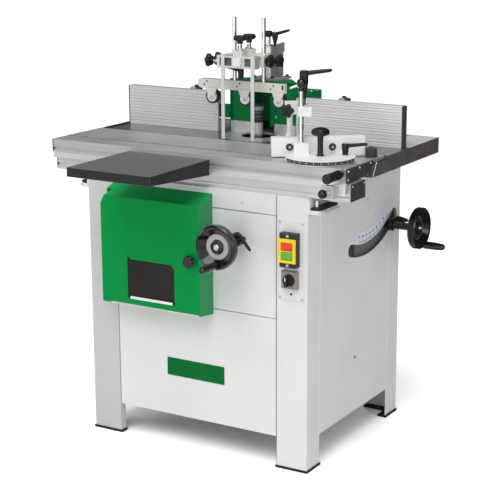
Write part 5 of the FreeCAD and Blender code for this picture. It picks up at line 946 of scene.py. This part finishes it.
trim = Shape().prism(((DOOR_Y - 3.4, 444), (DOOR_Y - 0.1, 444), (DOOR_Y - 0.1, 451),
                      (DOOR_Y - 1.6, 451.5)), (-172, -29), "x")
piece("window_sill", trim, "access_door", bright, 0.3)
rivets = Shape()
for x, z in ((-178, 448), (-24, 448), (-177, 561)):
    rivets.lathe((x, DOOR_Y, z), FRONT, ((3.2, -0.2), (3.2, 2.2), (2.4, 3), (0, 3.2)), 20)
piece("window_rivets", rivets, "access_door", black, 0)
gusset = Shape().prism(((-36, 561), (-19, 561), (-19, 544)), (DOOR_Y - 0.7, DOOR_Y + 0.4), "y")
piece("window_corner", gusset, "access_door", green, 0)
edge = Shape().prism(((DOOR_Y - 1.2, 423.2), (DOOR_Y + 1, 423.2), (DOOR_Y + 1, 428),
                      (DOOR_Y - 1.2, 427)), (-240, 58), "x")
piece("door_edge", edge, "access_door", cream, 0)
pins = Shape()
for z in (510.4, 690.4):
    pins.lathe((-276, FRONT_Y - 6.3, z), UP, ((4, 0), (4, 2), (3, 3), (0, 3)), 20)
piece("hinge_caps", pins, "cabinet", zinc, 0)

# Fence hood: bolts, mouth plate, inner guard and the column's cheek

HOOD_TOP = 986
bolt_xs = (spindle.x - 104, spindle.x + 104)
bolts = Shape().screws([(x, y, HOOD_TOP) for x in bolt_xs for y in (190, 225)], UP, 4)
bolts.screw((46, 91, 918), FRONT, 2.6)
piece("hood_bolts", bolts, "cabinet", zinc, 0)
MOUTH_FACE = 87.6
mouth = Shape().prism(((28, 887), (44, 887), (44, 979), (30, 979), (28, 976)), (MOUTH_FACE, 90.8), "y")
mouth.screw((38, MOUTH_FACE, 970), FRONT, 2.2)
piece("mouth_plate", mouth, "cabinet", dark_green, 0.3)
GUARD_RADIUS = 152
GUARD_SHEET = 3
GUARD_HALF = 40
guard = []
for radius, way in ((GUARD_RADIUS, 1), (GUARD_RADIUS - GUARD_SHEET, -1)):
    for degree in range(-GUARD_HALF, GUARD_HALF + 1, 5):
        angle = math.radians(way * degree)
        guard.append((spindle.x + radius * math.sin(angle), spindle.y + radius * math.cos(angle)))
piece("hood_guard", Shape().prism(guard, (886, 981), "z"), "cabinet", lit_inner_green, 0)
cheek_foot = foot_top + 0.4
cheek = Shape().prism(((108.4, cheek_foot), (180, cheek_foot), (180, 1098), (187, 1100), (187, 1124),
                       (182, 1127), (108.4, COLUMN_TOP)), (CHEEK_FACE - 3, CHEEK_FACE), "x")
cheek.box((-5.8, 158.3, cheek_foot), (18.1, 178, 1119))
cheek.screws([(CHEEK_FACE, 172, z) for z in (1040, 1112)], RIGHT, 2.4)
piece("column_cheek", cheek, "cabinet", cheek_grey, 0.5)

# Lock bracket under the push handle

BRACKET_BACK = slider[0].y - 0.3
BRACKET_PLATE = 2.7
bracket = Shape().prism(((412, 806), (416, 818), (426, 828), (469, 828), (469, 826), (428, 826), (418, 816),
                         (414, 806)), (BRACKET_BACK - 27.7, BRACKET_BACK), "y")
bracket.box((450, BRACKET_BACK - BRACKET_PLATE, 794), (469.5, BRACKET_BACK, 826))
bracket.screws([(460, BRACKET_BACK - BRACKET_PLATE, z) for z in (801, 819)], FRONT, 2.6)
piece("lock_bracket", bracket, "sliding_table", bright, 0.4)


# Floor and room, in metres

FLOOR_RADIUS = 60
FLOOR_DROP = 0.0005
FLOOR_TONE = 0.8
FLOOR_SEEN = 1.5
ROOM_LIGHT = 0.44
BRIGHT_SIDE = (0.3, -0.95, 0.1)
BRIGHT_EDGE = (0.35, 0.62)
BRIGHTEST = 0.8
FLOOR_DARKEST = 0.08
ROOM_DARKEST = 0.07


def mirrored_room(tree, direction, darkest):
    """What metal mirrors: bright on one side of the studio and dark on the other."""
    toward = tree.add("ShaderNodeVectorMath", "DOT_PRODUCT")
    toward.inputs[1].default_value = BRIGHT_SIDE
    tree.join(direction, toward.inputs[0])
    return tree.spread(toward.outputs["Value"], BRIGHT_EDGE, (darkest, BRIGHTEST))


bm = bmesh.new()
bmesh.ops.create_circle(bm, cap_ends=True, segments=96, radius=FLOOR_RADIUS)
mesh = bpy.data.meshes.new("floor")
bm.to_mesh(mesh)
bm.free()
floor = bpy.data.objects.new("floor", mesh)
floor.location = (0, 0, -FLOOR_DROP)
scene.collection.objects.link(floor)
ground = bpy.data.materials.new("pale_floor")
ground.use_nodes = True
ground.node_tree.nodes.clear()
tree = Nodes(ground.node_tree)
rays = tree.add("ShaderNodeLightPath").outputs
tone = tree.spread(rays["Is Camera Ray"], (0.0, 1.0), (FLOOR_TONE, FLOOR_SEEN))
outward = tree.add("ShaderNodeVectorMath", "NORMALIZE")
tree.join(tree.add("ShaderNodeTexCoord").outputs["Object"], outward.inputs[0])
mirrored = mirrored_room(tree, outward.outputs["Vector"], FLOOR_DARKEST)
diffuse = tree.add("ShaderNodeBsdfDiffuse")
tree.join(tree.mix(rays["Is Glossy Ray"], tone, mirrored), diffuse.inputs["Color"])
tree.join(diffuse.outputs["BSDF"], tree.add("ShaderNodeOutputMaterial").inputs["Surface"])
mesh.materials.append(ground)

world = bpy.data.worlds.new("studio")
world.use_nodes = True
scene.world = world
sky = world.node_tree.nodes["Background"]
sky.inputs["Color"].default_value = (1, 1, 1, 1)
tree = Nodes(world.node_tree)
rays = tree.add("ShaderNodeLightPath").outputs
mirrored = mirrored_room(tree, tree.add("ShaderNodeTexCoord").outputs["Generated"], ROOM_DARKEST)
light = tree.mix(rays["Is Glossy Ray"], ROOM_LIGHT, mirrored)
tree.join(tree.mix(rays["Is Camera Ray"], light, 1.0), sky.inputs["Strength"])


# Lights and camera, in metres

def lamp(kind, name, at, target, energy, **settings):
    data = bpy.data.lights.new(name, kind)
    data.energy = energy
    for key, value in settings.items():
        setattr(data, key, value)
    obj = bpy.data.objects.new(name, data)
    obj.location = at
    obj.rotation_euler = (Vector(target) - Vector(at)).to_track_quat("-Z", "Y").to_euler()
    scene.collection.objects.link(obj)


def soft_box(name, at, target, energy, width, height):
    lamp("AREA", name, at, target, energy, shape="RECTANGLE", size=width, size_y=height)


lamp("SUN", "key", (0.6, -2.7, 3.7), (0, 0, 0), 1.15, angle=math.radians(40))
soft_box("top_box", (0.3, -0.8, 3.4), (0, 0, 0.8), 24, 2.4, 1.6)
soft_box("front_box", (0.6, -3.8, 0.8), (0, 0, 0.6), 17, 4.0, 1.6)
soft_box("right_box", (3.2, -1.0, 1.5), (0.3, 0, 1.0), 12, 1.6, 1.0)
soft_box("left_box", (-3.2, -2.0, 1.6), (0, 0, 0.8), 26, 1.2, 2.0)

PHOTO_PIXELS = 500
FOCAL_PIXELS = 1435.51
SENSOR = 36
EYE = (2.12012, -3.54226, 1.5705)
PITCH, ROLL, YAW = 75.8375, 0.2263, 30.7262
camera = bpy.data.cameras.new("camera")
camera.lens = FOCAL_PIXELS / PHOTO_PIXELS * SENSOR
camera.sensor_width = SENSOR
camera.sensor_fit = "HORIZONTAL"
camera.clip_end = 200
eye = bpy.data.objects.new("camera", camera)
eye.location = EYE
eye.rotation_euler = [math.radians(angle) for angle in (PITCH, ROLL, YAW)]
scene.collection.objects.link(eye)
scene.camera = eye
